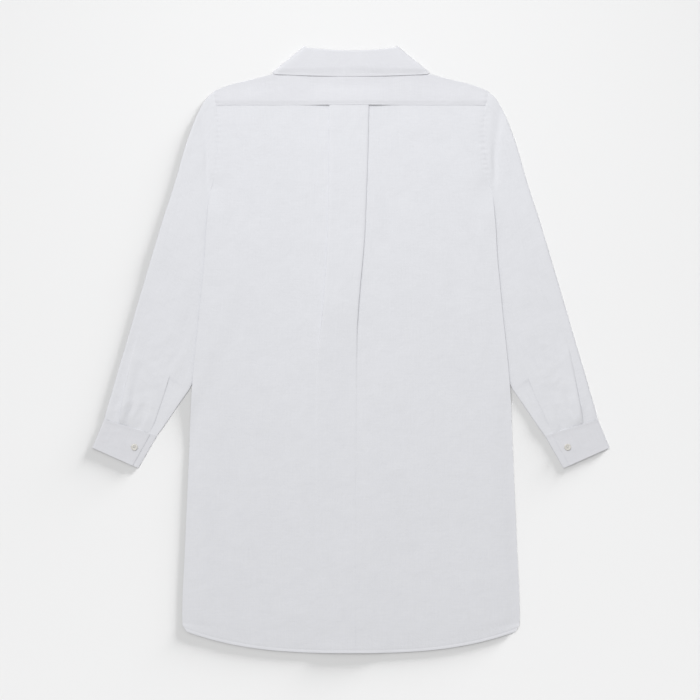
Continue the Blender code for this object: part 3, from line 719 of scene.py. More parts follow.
def back_relief(points, out):
    """Creases of the back, gathers at the armholes and the rolled hem."""
    x, down = place_of(points)
    side = np.minimum(edge_distance(x, np.clip(down, UNDERARM, None)), down - YOKE_EDGE + 6)
    inside = ease(0, 22, side)
    level = np.clip(out[..., 2], 0, 1)
    creases = pressed(BACK_CREASES, x, down) + crumple(x, down)
    from_hem = hem(x) - down
    rolled = 0.3 * (1 - ease(2.6, 3.8, from_hem)) - bell(from_hem - 4.6, 1.3, 0.25)
    settled = -0.65 * np.maximum(points[..., 2] - 4.4, 0) * ease(70, 15, from_hem)
    return (creases * inside + puckers(x, down) + rolled + settled) * level


def front_relief(points, out):
    """Creases of a front, upwards from the floor, on its lower face."""
    x, down = place_of(points)
    inside = ease(0, 30, edge_distance(x, np.clip(down, UNDERARM, None)))
    inside = inside * ease(PLACKET_HALF + 1, 40, np.abs(x))
    lifted = 0.2 + pressed(FRONT_CREASES, x, down) + crumple(x, down)
    return -np.maximum(lifted, 0) * inside


def sleeve_relief(points, out):
    """Creases of a sleeve, on its upper and lower sides, and the armhole's gathers."""
    x, down = place_of(points)
    across = np.abs(x)
    upper, lower = np.clip(out[..., 2], 0, 1) ** 2, np.clip(-out[..., 2], 0, 1) ** 2
    outside = ease(0, 10, across - half_width(np.clip(down, UNDERARM, PAST_CUFF)))
    shown = np.where(down < UNDERARM, 1, outside)
    top = (pressed(SLEEVE_CREASES, across, down) + 0.8 * crumple(x, down)) * shown
    seam = puckers(x, down)
    bottom = np.minimum(pressed(SLEEVE_UNDER_CREASES, across, down), 0) - 0.1
    from_slit = away_from_start(points, 1)
    lying = -0.5 * (1 - ease(0, 3, from_slit)) * ease(556, 580, down) * (down < PAST_CUFF)
    return upper * (top + seam + lying) + lower * bottom * (1 - ease(590, 615, down))


def yoke_relief(points, out):
    """The yoke's soft unevenness, its armhole gathers and its lower sewn edge."""
    x, down = place_of(points)
    inside = ease(0, 14, down - shoulder(x))
    soft = 0.14 * waves(x, down, 46, 11) + 0.05 * waves(x, down, 15, 12)
    from_edge = YOKE_EDGE - down
    stretch = 0.16 * np.sin(x / 9 + 0.5) * ease(150, 200, np.abs(x)) * ease(0, 20, from_edge)
    lying = -0.8 * (1 - ease(0, 8, from_edge))
    sewn_down = sewn_edge(from_edge, YOKE_SEAM, 0.1)
    return (soft + stretch) * inside + puckers(x, down) + lying + sewn_down


def leaf_relief(points, out):
    """The leaf's edge seam, and the way it stands a little where it was folded."""
    x, down = place_of(points)
    on_top = np.clip(out[..., 2], 0, 1)
    soft = 0.16 * waves(x, down, 40, 21) + 0.06 * waves(x, down, 14, 22)
    hollow = bell(x - 34, 18, 0.25) - bell(x + 8, 22, 0.3)
    from_edge = away_from_start(points, 1)
    drooping = -2.3 * on_top * (1 - ease(0, 17, from_edge))
    return (soft + hollow * on_top) * ease(4, 12, from_edge) + drooping + sewn_edge(from_edge, LEAF_SEAM)


def stand_relief(points, out):
    """The stand's slight waviness."""
    x, down = place_of(points)
    return 0.05 * waves(x, down, 24, 31)


def cuff_relief(points, out):
    """A cuff's sewn edges and the slight waviness between them."""
    x, down = place_of(points)
    from_seam = away_from_start(points, 0)
    to_edge = from_seam[-1:] - from_seam
    inside = ease(3, 12, from_seam) * ease(3, 12, to_edge)
    upper = np.clip(out[..., 2], 0, 1)
    soft = (0.14 * waves(x, down, 26, 41) + 0.05 * waves(x, down, 10, 42)) * inside * upper
    from_lap = away_from_start(points, 1)
    lying = -0.4 * (1 - ease(0, 3, from_lap))
    edges = sewn_edge(from_seam, CUFF_SEAM, 0.42) + sewn_edge(to_edge, CUFF_EDGE_SEAM, 0.16)
    edges = edges + sewn_edge(from_lap, CUFF_LAP_SEAM, 0.1)
    return soft + upper * (edges + lying)


def band_relief(points, out):
    """The buttonhole band's two sewn edges."""
    x, down = place_of(points)
    aside = PLACKET_HALF - np.abs(x)
    return sewn_edge(aside, BAND_SEAM, 0.12) + 0.05 * waves(x, down, 30, 51)


def tucked_in(walls, at_end, steps):
    """Carries a tube's end on under the piece it is sewn to.

    Each step is how far on from the end a section is, and its highest point. A section's
    heights are drawn towards its middle until it is no higher than that.
    """
    walls = [grid if at_end else grid[::-1] for grid in walls]
    inner, outer = (grid[-1, :, 2] for grid in walls)
    level, highest = ((inner + outer) / 2).mean(), outer.max()
    tucked = []
    for grid in walls:
        last, before = grid[-1], grid[-2]
        run = (last - before) * np.array([1, 1, 0])
        run /= np.linalg.norm(run, axis=-1, keepdims=True) + 1e-9
        rows = []
        for reach, top in steps:
            row = last + run * reach
            share = min(1, (top - level) / (highest - level))
            row[:, 2] = level + (row[:, 2] - level) * share
            rows.append(row)
        tucked.append(np.concatenate([grid[:-1], rows]))
    return [grid if at_end else grid[::-1] for grid in tucked]


# How far on under the next piece a sleeve's end goes, and its highest point there
UNDER_BODY = ((0, 4.0), (0.5, 3.4), (2.2, 3.0))
INTO_CUFF = ((0, 3.0), (0.4, 2.6), (3.0, 2.5))


# Pieces of the body

def row_downs(top, across):
    """down of each row for columns at across: armhole rows, side rows, hem rows."""
    shares = np.linspace(0, 1, ARMHOLE_ROWS + 1)[:-1]
    downs = [top + (UNDERARM - top) * share for share in shares]
    downs += [np.full_like(top, down) for down in SIDE_ROWS]
    last, end = SIDE_ROWS[-1], hem(across)
    return np.array([*downs, last + (end - HEM_TURN - last) * 0.5, end - HEM_TURN, end])


def body_row(number, inner, top):
    """across and down of a row's columns, from the inner ones out to the body's edge."""
    edge = BODY_EDGE[0].across
    for _ in range(30):
        across = np.concatenate([inner, edge * np.array(OUTER_SHARES)])
        down = row_downs(top(across), across)[number]
        edge = (edge + half_width(down[-1])) / 2
    return across, down


def back_top(across):
    """down of the back's top edge, under the yoke."""
    return np.full(np.shape(across), YOKE_EDGE - YOKE_LAP)


def back_downs(number, across):
    """down of one row of the back."""
    return row_downs(back_top(across), across)[number]


def front_top_edge(across):
    """down of a front's top edge: neck, then shoulder."""
    return np.where(across <= NECK_SIDE[0], neck_front(across), shoulder(across))


def yoke_top_edge(across):
    """down of the yoke's top edge: neck, then shoulder."""
    return np.where(across <= NECK_SIDE[0], neck_back(across), shoulder(across))


def back_walls():
    """Both faces of the back panel: a section for each row, with the box pleat in it."""
    base_shares = np.array([0.1, 0.35, 0.65, 1])
    rows_under, rows_over = [], []
    for number in range(ARMHOLE_ROWS + len(SIDE_ROWS) + HEM_ROWS):
        pleat = pleat_at(back_downs(number, np.zeros(1))[0])
        centre = (pleat.left + pleat.right) / 2
        fold = folds(math.radians(pleat.turn), pleat.depth)
        halves = []
        for side, box_edge in ((1, pleat.right), (-1, pleat.left)):
            half_box = abs(box_edge - centre) - FOLD_RADIUS
            out = np.concatenate([[half_box / 2, half_box], half_box + fold[:, 0]])
            drop = np.concatenate([[0, 0], fold[:, 1]])
            lean = np.concatenate([[0, 0], fold[:, 2]])
            fold_end = side * centre + out[-1]
            inner = fold_end + (NECK_SIDE[0] - fold_end) * base_shares
            base, base_down = body_row(number, inner, back_top)
            pleated = side * centre + out
            flat = np.zeros(len(base))
            across = side * np.concatenate([pleated, base])
            down = np.concatenate([back_downs(number, pleated), base_down])
            height = drop[-1] - np.concatenate([drop, flat + drop[-1]])
            halves.append((across, down, height, side * np.concatenate([lean, flat])))
        right, left = halves
        middle = (centre, back_downs(number, np.array([centre]))[0], right[2][0], 0.0)
        across, down, height, lean = (
            np.concatenate([left[i][::-1], [middle[i]], right[i]]) for i in range(4)
        )
        half = CLOTH / 2
        level = back_under(across, down) + half + height
        for rows, out in ((rows_under, -half), (rows_over, half + turned(across, down))):
            rows.append(placed(across + out * np.sin(lean), down, level + out * np.cos(lean)))
    return np.array(rows_under), np.array(rows_over)


def yoke_walls():
    """Both faces of the yoke, between the shoulder and its lapped edge."""
    rows_across, rows_down = [], []
    for share in (0, 0.06, 0.2, 0.42, 0.66, 0.86, 1.0):
        edge = BODY_EDGE[0].across
        for _ in range(20):
            half = np.concatenate([BACK_NECK_COLUMNS, edge * np.array(OUTER_SHARES)])
            top = yoke_top_edge(half)
            down = top + (YOKE_EDGE - top) * share
            edge = half_width(down[-1])
        rows_across.append(np.concatenate([-half[:0:-1], half]))
        rows_down.append(np.concatenate([down[:0:-1], down]))
    across, down = np.array(rows_across), np.array(rows_down)
    return flat_wall(across, down, yoke_under(across, down))


def front_walls(side, centre_columns, under):
    """Both faces of one front, from its centre edge to the side seam."""
    inner = np.concatenate([centre_columns, FRONT_NECK_COLUMNS])
    numbers = range(ARMHOLE_ROWS + len(SIDE_ROWS) + HEM_ROWS)
    rows = np.array([body_row(number, inner, front_top_edge) for number in numbers])
    across, down = side * rows[:, 0, ::side], rows[:, 1, ::side]
    return flat_wall(across, down, under(across, down), CLOTH + turned(across, down))


def placket_walls():
    """Both faces of the buttonhole band on the edge of the right front."""
    across = np.array([-PLACKET_HALF, 0, PLACKET_HALF])
    downs = row_downs(neck_front(across), across)
    return flat_wall(across, downs, placket_lift(downs))


# Sleeves and cuffs

def armhole_top(down):
    """Top of the back, or of the yoke above it, along the armhole."""
    edge = half_width(down)
    low = np.where(down < YOKE_EDGE, yoke_under(edge, down), back_under(edge, down))
    return low + CLOTH


def sleeve_surface(across, down):
    """Top of the sleeve: low under the body, a little fuller where it shows."""
    outside = across - half_width(np.clip(down, UNDERARM, PAST_CUFF))
    return SLEEVE_TOP + CUFF_PUFF * ease(2, 30, outside)


def edge_normals(edge):
    """Unit vectors square to an edge, in plan, on its left as it goes down."""
    run = np.gradient(edge, axis=0)
    normals = np.column_stack([-run[:, 1], run[:, 0]]) / np.hypot(*run.T)[:, None]
    normals[0] = (0, 1)
    return normals


def sleeve_levels(plan, seam):
    """Underside and top of the sleeve, blended into the armhole seam by seam."""
    down = min(plan[1], UNDERARM)
    across = min(plan[0], half_width(down))
    low = seam * right_under(across, down)
    high = seam * armhole_top(down) + (1 - seam) * sleeve_surface(*plan)
    return float(low), float(high)


def sleeve_ring(chord, side, inner_out, outer_out):
    """Middle of the sleeve's wall in one section, and its normal.

    It goes from the slit's edge out along the top, round the outer edge, in along
    the underside, round the inner edge and back to the slit, or on under its edge.
    """
    is_open = chord.lap != 0
    settled = ease(*SLEEVE_SETTLES, chord.outer_down)
    inner_end = np.array([chord.inner_across, chord.inner_down], float)
    outer_end = np.array([chord.outer_across, chord.outer_down], float)
    half = CLOTH / 2
    walls = np.array([half, -half])
    inner_low, inner_high = sleeve_levels(inner_end - FROM_EDGE * inner_out, chord.seam) + walls
    outer_low, outer_high = sleeve_levels(outer_end - FROM_EDGE * outer_out, chord.seam) + walls
    inner_high += settled * (1.5 * CLOTH + SEAM - inner_high)
    inner_radius = (inner_high - inner_low) / 2
    outer_radius = (outer_high - outer_low) / 2
    near = inner_end - inner_out * (inner_radius + half)
    far = outer_end - outer_out * (outer_radius + half)
    length = np.hypot(*(far - near))
    along = (far - near) / length
    slit = chord.slit - side * SLIT_SHIFT / 2 * ease(13, 35, chord.slit)
    tuck = length - chord.tuck
    fold = folds(math.radians(chord.turn), chord.depth)
    rise, fold_end = fold[-1, 1], tuck + fold[-1, 0]
    points, normals = [], []

    def pull(plan):
        """How far in towards the armhole seam a point of the section moves."""
        seam_line = half_width(min(plan[1], UNDERARM)) + 2 * SEAM
        return chord.seam * min(seam_line - plan[0], 0)

    def add_flat(distance, layer, lift=0.0, lean=0.0):
        """A point of the top, the underside or the cloth under the slit's edge."""
        plan = near + distance * along
        share = distance / length
        plan[0] += pull(plan) - pull(near) * (1 - share) - pull(far) * share
        low, high = sleeve_levels(plan, chord.seam)
        height = {"underside": low + half, "underlap": 1.5 * CLOTH + SEAM, "top": high - half}
        points.append([*plan, height[layer] + lift])
        normals.append([*(along * math.sin(lean)), math.cos(lean)])

    def add_bend(centre, out, low, high, upward):
        """Three points round one edge, going up or down."""
        radius, middle = (high - low) / 2, (high + low) / 2
        for turn in ROUND:
            rise_share = -math.cos(turn) if upward else math.cos(turn)
            points.append([*(centre + out * radius * math.sin(turn)), middle + radius * rise_share])
            normals.append([*(out * math.sin(turn)), rise_share])

    for distance in slit + (tuck - slit) * np.array([0, 0.25, 0.5, 0.75, 0.9, 1]):
        add_flat(distance, "top", rise * ease(tuck - 22, tuck - 5, distance))
    for out, drop, lean in fold:
        add_flat(tuck + out, "top", rise - drop, lean)
    for share in (0.5, 1):
        add_flat(fold_end + (length - fold_end) * share, "top")
    add_bend(far, outer_out, outer_low, outer_high, upward=False)
    for share in np.linspace(1, 0, 10):
        add_flat(length * share, "underside", lean=math.pi)
    add_bend(near, inner_out, inner_low, inner_high, upward=True)
    for share in (0, 0.5, 1):
        add_flat((slit + chord.lap) * share, "underlap" if is_open else "top")
        if not is_open:
            points[-1][2] += settled * (1 - share) * (1.5 * CLOTH + SEAM - points[-1][2])
    return np.array(points, float), np.array(normals, float)


def sleeve_walls(side):
    """Both faces of a sleeve, a flattened tube that is slit on top at the cuff."""
    outer = np.array([chord[:2] for chord in SLEEVE_CHORDS])
    inner = np.array([chord[2:4] for chord in SLEEVE_CHORDS])
    ends = zip(edge_normals(inner), -edge_normals(outer))
    rings = [sleeve_ring(chord, side, *end) for chord, end in zip(SLEEVE_CHORDS, ends)]
    middle = np.array([points for points, _ in rings])
    normal = np.array([normals for _, normals in rings])
    closed = [chord.lap == 0 for chord in SLEEVE_CHORDS]
    for row, is_closed in enumerate(closed):
        if is_closed:
            middle[row, 0] = middle[row, -1]
            normal[row, 0] = normal[row, -1]
    return wall_round(middle, normal, side)


def cuff_section(width):
    """Middle of the cuff's wall from its overlap edge, round, to its underlap.

    Each row is the distance from the inner edge, the height, and the wall's lean.
    """
    top, low, under = CUFF_TOP - CLOTH / 2, CLOTH / 2, CLOTH * 1.5 + SEAM
    lap = width * CUFF_LAP_AT
    outer_radius, inner_radius = (top - low) / 2, (under - low) / 2
    outer_centre = width - outer_radius - CLOTH / 2
    rows = [(distance, top, 0.0) for distance in np.linspace(lap, outer_centre, 6)]
    for turn in ROUND:
        out, up = outer_radius * math.sin(turn), outer_radius * math.cos(turn)
        rows.append((outer_centre + out, (top + low) / 2 + up, turn))
    inner_centre = inner_radius + CLOTH / 2
    rows += [(distance, low, math.pi) for distance in np.linspace(outer_centre, inner_centre, 6)]
    for turn in ROUND:
        out, up = inner_radius * math.sin(turn), inner_radius * math.cos(turn)
        rows.append((inner_centre - out, (under + low) / 2 - up, math.pi + turn))
    under_lap = np.linspace(inner_centre, CUFF_UNDERLAP, 3)
    rows += [(distance, under, 2 * math.pi) for distance in under_lap]
    return np.array(rows)


def cuff_walls(side):
    """Both faces of a cuff, one band whose ends overlap on the back of the sleeve."""
    under_rows, over_rows = [], []
    for share in (0.0, 0.33, 0.67, 1.0):
        ends = (CUFF_OUTER, CUFF_INNER)
        outer, inner = (end[0] * (1 - share) + end[1] * share for end in ends)
        width = np.hypot(*(outer - inner))
        along = (outer - inner) / width
        distance, height, lean = cuff_section(width).T
        for rows, half in ((under_rows, -CLOTH / 2), (over_rows, CLOTH / 2)):
            plan = inner + (distance + half * np.sin(lean))[:, None] * along
            rows.append(placed(side * plan[:, 0], plan[:, 1], height + half * np.cos(lean)))
    return np.array(under_rows), np.array(over_rows)


# Collar

def raised(plan, height):
    """A point in plan, at a height."""
    return np.array([*plan, height])


def collar_column(tip, roll, seam, leaf_height, stand_height):
    """Four points of the wall: the leaf's tip and roll, the stand's roll and seam."""
    leaf = [raised(tip, leaf_height), raised(roll, leaf_height)]
    return np.array(leaf + [raised(roll, stand_height), raised(seam, stand_height)])


def collar_columns(side):
    """One half of the collar, from the centre back to the centre front.

    Each column holds four points in the middle of the wall: the leaf's free edge,
    the leaf at the roll, the stand at the roll and the stand at the neck seam.
    """
    run = np.array(LEAF_TIP) - np.array(ROLL_CORNER)
    away = np.array([run[1], -run[0]]) / np.hypot(*run)
    wrap = (LEAF_HIGH - LEAF_LOW) / 2
    stand_high = LEAF_HIGH - 2 * ROLL_RADIUS
    stand_low = COLLAR_LIFT + CLOTH / 2
    stand_wrap = (stand_high - stand_low) / 2
    roll_side = np.array(ROLL_CORNER) - wrap * away
    tip_side = np.array(LEAF_TIP) - wrap * away
    neck_side = np.array(NECK_SIDE) - np.array([stand_wrap + 3 * SEAM, 2 * SEAM])
    columns = []
    for share in np.array(BACK_NECK_COLUMNS) / NECK_SIDE[0]:
        lift = LEAF_LIFT * (1 - share**2)
        roll = (roll_side[0] * share, ROLL_DIP + (roll_side[1] - ROLL_DIP) * share**2)
        tip = (tip_side[0] * share, LEAF_BACK + (tip_side[1] - LEAF_BACK) * share**2.2)
        seam = (neck_side[0] * share, neck_back(neck_side[0] * share) - 2 * SEAM)
        columns.append(collar_column(tip, roll, seam, LEAF_HIGH + lift, stand_high + lift))
    for turn in ROUND:
        leaf_out = raised(away * wrap * math.sin(turn), wrap * math.cos(turn))
        stand_out = raised(away * stand_wrap * math.sin(turn), stand_wrap * math.cos(turn))
        heights = ((LEAF_HIGH + LEAF_LOW) / 2, (stand_high + stand_low) / 2)
        points = collar_column(tip_side, roll_side, neck_side, *heights)
        columns.append(points + [leaf_out, leaf_out, stand_out, stand_out])
    under = right_under if side > 0 else left_under
    for share in np.linspace(0, 1, 7):
        roll = bend(roll_side, (44, 62), LEAF_FRONT, share)
        tip = bend(tip_side, (104, 96), LEAF_POINT, share)
        angle = share * math.pi / 2
        seam = (
            neck_side[0] * math.cos(angle),
            neck_side[1] + (NECK_FRONT - 3 * SEAM - neck_side[1]) * math.sin(angle),
        )
        low = float(under(side * seam[0], seam[1])) + CLOTH / 2
        columns.append(collar_column(tip, roll, seam, LEAF_LOW, low))
    return columns


def collar_sections(side):
    """Middle of the wall and its normal, for the leaf and for the stand.

    The leaf's section starts at its free edge and goes over the roll. The stand's
    goes on from there down to the neck seam.
    """
    leaf, stand = [], []
    for tip, leaf_roll, stand_roll, seam in collar_columns(side):
        radius = np.linalg.norm(leaf_roll - stand_roll) / 2
        upward = (leaf_roll - tip) / np.linalg.norm(leaf_roll - tip)
        outer = leaf_roll - upward * radius
        inner = stand_roll - upward * radius
        middle, arm = (outer + inner) / 2, (outer - inner) / 2
        normal = arm / radius
        section = [(tip + (outer - tip) * share, normal) for share in (0, 0.3, 0.65, 0.92, 1)]
        for turn in np.radians([36, 72, 108, 144, 180]):
            point = middle + arm * math.cos(turn) + upward * radius * math.sin(turn)
            section.append((point, normal * math.cos(turn) + upward * math.sin(turn)))
        leaf.append(section)
        down_stand = seam - inner
        first = 2 * SEAM / np.linalg.norm(down_stand)
        stand.append([(inner + down_stand * share, -normal) for share in (first, 0.35, 0.7, 1)])
    return leaf, stand


def stand_end(last, side):
    """Columns that carry the stand past the centre, with a rounded top corner."""
    top, seam = last[0][0], last[-1][0]
    added = []
    for reach, drop in ((4.5, 2.0), (9.5, 6.0), (STAND_LAP, 13.0)):
        first = top + np.array([-side * (reach + abs(top[0])), drop, 0])
        final = seam + np.array([-side * reach, neck_front(reach) - NECK_FRONT, 0])
        shares = np.linspace(0, 1, len(last))
        added.append([(first + (final - first) * share, last[-1][1]) for share in shares])
    return added if side > 0 else added[::-1]


def collar_walls():
    """Both faces of the collar's leaf and of its stand."""
    right_leaf, right_stand = collar_sections(1)
    left_leaf, left_stand = collar_sections(-1)
    mirror = np.array([-1, 1, 1])
    made = []
    for right, left, has_ends in ((right_leaf, left_leaf, False), (right_stand, left_stand, True)):
        left = [[(mid * mirror, normal * mirror) for mid, normal in column] for column in left]
        columns = left[:0:-1] + right
        if has_ends:
            columns = stand_end(columns[0], -1) + columns + stand_end(columns[-1], 1)
        middle = np.array([[mid for mid, _ in column] for column in columns])
        normal = np.array([[normal for _, normal in column] for column in columns])
        made.append(wall_round(middle, normal))
    return made


# Thread and buttons

def lengths_of(vectors):
    """Length of each vector, in an array that they can be divided by."""
    return np.linalg.norm(vectors, axis=-1, keepdims=True)


def ellipsoids(centres, along, up, half_length, half_wide, half_high, sides=6):
    """Points and faces of many short threads, each a long ball of five rings."""
    centres, along, up = (np.array(vectors, float) for vectors in (centres, along, up))
    aside = np.cross(up, along)
    aside /= lengths_of(aside)
    turns = np.arange(sides) * 2 * math.pi / sides
    places = np.radians([-86, -45, 0, 45, 86])
    x = np.sin(places)[:, None] * half_length + 0 * turns
    girth = np.cos(places)[:, None]
    y, z = girth * np.cos(turns) * half_wide, girth * np.sin(turns) * half_high
    points = centres[:, None, None]
    for way, reach in ((along, x), (aside, y), (up, z)):
        points = points + way[:, None, None] * reach[..., None]
    rings = len(places)
    index = np.arange(rings * sides).reshape(rings, sides)
    walls = corners_of(np.concatenate([index, index[:, :1]], axis=1))
    first_caps = index[0][[[3, 2, 1, 0], [0, 5, 4, 3]]]
    last_caps = index[-1][[[0, 1, 2, 3], [3, 4, 5, 0]]]
    one = np.concatenate([walls, first_caps, last_caps])
    steps = np.arange(len(centres)) * rings * sides
    faces = (one[None] + steps[:, None, None]).reshape(-1, 4)
    return points.reshape(-1, 3), faces


def resampled(line, pitch):
    """Points at even distances along a line of points, and which way it runs there."""
    steps = np.linalg.norm(np.diff(line, axis=0), axis=1)
    keys = np.concatenate([[0], np.cumsum(steps)])
    count = max(2, int(keys[-1] / pitch))
    spots = (np.arange(count) + 0.5) * keys[-1] / count
    points = np.stack([np.interp(spots, keys, column) for column in line.T], -1)
    runs = np.gradient(points[:, :3], axis=0)
    return points, runs / lengths_of(runs)


def inset_line(seam):
    """The line on a sheet's face that runs inside one of its edges."""
    grid = np.moveaxis(np.concatenate(SURFACES[seam.sheet], -1), seam.axis, 0)
    grid = grid[::-1] if seam.from_end else grid
    steps = np.linalg.norm(np.diff(grid[..., :3], axis=0), axis=-1)
    reach = np.concatenate([np.zeros((1, grid.shape[1])), np.cumsum(steps, axis=0)])
    low = np.clip((reach < seam.inset).sum(axis=0) - 1, 0, len(reach) - 2)
    columns = np.arange(grid.shape[1])
    before, after = reach[low, columns], reach[low + 1, columns]
    share = np.clip((seam.inset - before) / (after - before), 0, 1)[:, None]
    return grid[low, columns] * (1 - share) + grid[low + 1, columns] * share


def stitches(seam, pitch, length):
    """Points and faces of small stitches along a seam."""
    spots, runs = resampled(inset_line(seam), pitch)
    up = spots[:, 3:] / lengths_of(spots[:, 3:])
    return ellipsoids(spots[:, :3] + up * 0.02, runs, up, length / 2, *HALF_THREAD)


def dressed(piece, material):
    """Gives a piece its material and the garment's one body."""
    piece.data.materials.append(material)
    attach(piece, "root")
    return piece


def sewn(name, shapes):
    """One piece of thread from several sets of points and faces."""
    starts = np.cumsum([0] + [len(points) for points, _ in shapes])
    faces = np.concatenate([some + start for (_, some), start in zip(shapes, starts)])
    piece = piece_of(name, np.concatenate([points for points, _ in shapes]), faces)
    dressed(piece, thread)


def button_height(out, x, y):
    """Height of a button's face: rounded rim, shallow dish and four holes."""
    into_rim = out - BUTTON_ACROSS / 2 + RIM
    rounding = 1 - np.sqrt(np.clip(1 - (into_rim / RIM) ** 2, 0, 1))
    rim = BUTTON_THICK - 0.7 * rounding * (into_rim > 0)
    dish = 0.45 * (1 - ease(2.6, 3.7, out))
    to_hole = np.hypot(np.abs(x) - BUTTON_HOLE_AT, np.abs(y) - BUTTON_HOLE_AT)
    return rim - dish - 0.85 * (1 - ease(0.45, 0.72, to_hole))


def button_piece(name, place, turn, faces_up):
    """A four-hole button: its face is a disc of rings, its foot a smaller flat one."""
    radius, sides = BUTTON_ACROSS / 2, 48
    rounded = radius - RIM + RIM * np.sin(np.linspace(0.2, 1.5, 7))
    outs = np.concatenate([np.linspace(0.02, 3.8, 26), np.linspace(4.0, radius - RIM, 5), rounded])
    turns = np.arange(sides) * 2 * math.pi / sides
    out, angle = np.meshgrid(outs, turns, indexing="ij")
    x, y = out * np.cos(angle), out * np.sin(angle)
    face = np.stack([x, y, button_height(out, x, y)], -1)
    foot_rings = ((0, 0.9), (0.12, 0.35), (0.6, 0.05), (1.2, 0.0), (radius - 0.02, 0.0))
    foot_rings = [(radius - inset, z) for inset, z in foot_rings]
    foot = np.array([[(o * math.cos(t), o * math.sin(t), z) for t in turns] for o, z in foot_rings])
    grid = np.concatenate([face, foot])
    index = np.arange(len(grid) * sides).reshape(len(grid), sides)
    after = np.roll(index, -1, axis=1)
    faces = np.stack([index[:-1], index[1:], after[1:], after[:-1]], -1).reshape(-1, 4)
    x, y, level = grid.reshape(-1, 3).T
    cos, sin = math.cos(turn), math.sin(turn)
    x, y = x * cos - y * sin, x * sin + y * cos
    across, down, height = place
    if faces_up:
        return piece_of(name, placed(across + x, down - y, height + level), faces)
    return piece_of(name, placed(across + x, down + y, height + BUTTON_THICK - level), faces)


def button_thread(place, turn, faces_up):
    """The crossed threads over a button's holes."""
    across, down, height = place
    centre = placed(across, down, height + (BUTTON_THICK - 0.32 if faces_up else 0.32))
    centres, runs = [], []
    for lean in (math.pi / 4, 3 * math.pi / 4):
        way, aside = ways(turn + lean)
        centres += [centre + aside * shift for shift in (-0.16, 0.16)]
        runs += [way, way]
    ups = [(0, 0, 1 if faces_up else -1)] * len(runs)
    return ellipsoids(centres, runs, ups, 1.75, 0.2, 0.3)


def ways(turn):
    """Unit vectors at that turn in plan, and square to it."""
    way = np.array([math.cos(turn), math.sin(turn), 0])
    return way, np.array([-way[1], way[0], 0])


def buttonhole(across, down, height, turn, up):
    """Two close rows of cross stitches on either side of a slit, and one at each end."""
    way, aside = ways(turn)
    centre = placed(across, down, height)
    centres, runs = [], []
    for side in (-1, 1):
        spots = np.linspace(-6.5, 6.5, 27)
        centres += [centre + way * spot + aside * side * 0.75 for spot in spots]
        runs += [aside] * len(spots)
    for end in (-1, 1):
        spots = np.linspace(-0.9, 0.9, 5)
        centres += [centre + way * end * 7.0 + aside * spot for spot in spots]
        runs += [way] * len(spots)
    return ellipsoids(centres, runs, [(0, 0, up)] * len(runs), 0.62, 0.27, 0.22)


# Materials

class Nodes:
    """Short calls for adding nodes to a tree and joining them."""

    def __init__(self, tree):
        self.tree = tree

    def add(self, kind, values=None, **settings):
        """The outputs of a new node with those values or links on its inputs."""
        node = self.tree.nodes.new("ShaderNode" + kind)
        for key, value in settings.items():
            setattr(node, key, value)
        self.fill(node, values or {})
        return node.outputs

    def fill(self, node, values):
        for key, value in values.items():
            if isinstance(value, bpy.types.NodeSocket):
                self.tree.links.new(value, node.inputs[key])
            else:
                node.inputs[key].default_value = value

    def math(self, operation, first, second=0.0, third=0.0):
        return self.add("Math", {0: first, 1: second, 2: third}, operation=operation)[0]

    def times(self, first, second):
        return self.math("MULTIPLY", first, second)

    def noise(self, vector, scale, detail, roughness=0.5, distortion=0.0):
        values = {"Vector": vector, "Scale": scale, "Detail": detail}
        values.update(Roughness=roughness, Distortion=distortion)
        return self.add("TexNoise", values)[0]

    def mixed(self, share, first, second, blend_type="MIX"):
        """A mix of two colours."""
        values = {0: share, 6: first, 7: second}
        return self.add("Mix", values, data_type="RGBA", blend_type=blend_type)[2]

    def bump(self, strength, distance, height, **others):
        values = {"Strength": strength, "Distance": distance, "Height": height, **others}
        return self.add("Bump", values)[0]

    def grey(self, tone):
        return self.add("CombineColor", {0: tone, 1: tone, 2: tone})[0]

    def group(self, tree, values):
        return self.add("Group", values, node_tree=tree)


def node_group(name, **inputs):
    """An empty shader group that reads a Vector and numbers and gives a Height and a Shade."""
    tree = bpy.data.node_groups.new(name, "ShaderNodeTree")
    sockets = tree.interface
    sockets.new_socket("Vector", in_out="INPUT", socket_type="NodeSocketVector")
    for label, value in inputs.items():
        sockets.new_socket(label, in_out="INPUT", socket_type="NodeSocketFloat").default_value = value
    for label in ("Height", "Shade"):
        sockets.new_socket(label, in_out="OUTPUT", socket_type="NodeSocketFloat")
    given, result = tree.nodes.new("NodeGroupInput"), tree.nodes.new("NodeGroupOutput")
    return tree, Nodes(tree), given.outputs, result


def weave_group():
    """Plain weave with slubs. Height is 0 to 1, Shade is a small share of colour.

    Warp and weft are sine waves across the cloth's two directions, each pressed down
    where the other crosses over it. Slubs are noise drawn out along the threads.
    """
    tree, nodes, given, result = node_group("plain_weave", Threads=THREADS, Slubs=SLUBS)
    parts = nodes.add("SeparateXYZ", {0: given["Vector"]})
    angles = [nodes.times(nodes.times(parts[i], given["Threads"]), math.pi) for i in (0, 1)]
    warp, weft = (nodes.math("ABSOLUTE", nodes.math("SINE", angle)) for angle in angles)
    over = nodes.times(*(nodes.math("COSINE", angle) for angle in angles))
    over = nodes.math("MULTIPLY_ADD", over, 0.5, 0.5)
    threads = nodes.add("Mix", {0: over, 2: warp, 3: weft}, data_type="FLOAT")[0]
    slubs = []
    for stretch in ((28.0, 900.0, 1.0), (900.0, 22.0, 1.0)):
        drawn = nodes.add("Mapping", {"Vector": given["Vector"], "Scale": stretch})[0]
        slubs.append(nodes.math("SUBTRACT", nodes.noise(drawn, 1.0, 2.0, 0.6), 0.5))
    slub = nodes.times(nodes.math("ADD", *slubs), given["Slubs"])
    height = nodes.math("ADD", threads, nodes.times(slub, 2.0))
    nodes.fill(result, {"Height": height, "Shade": slub})
    return tree


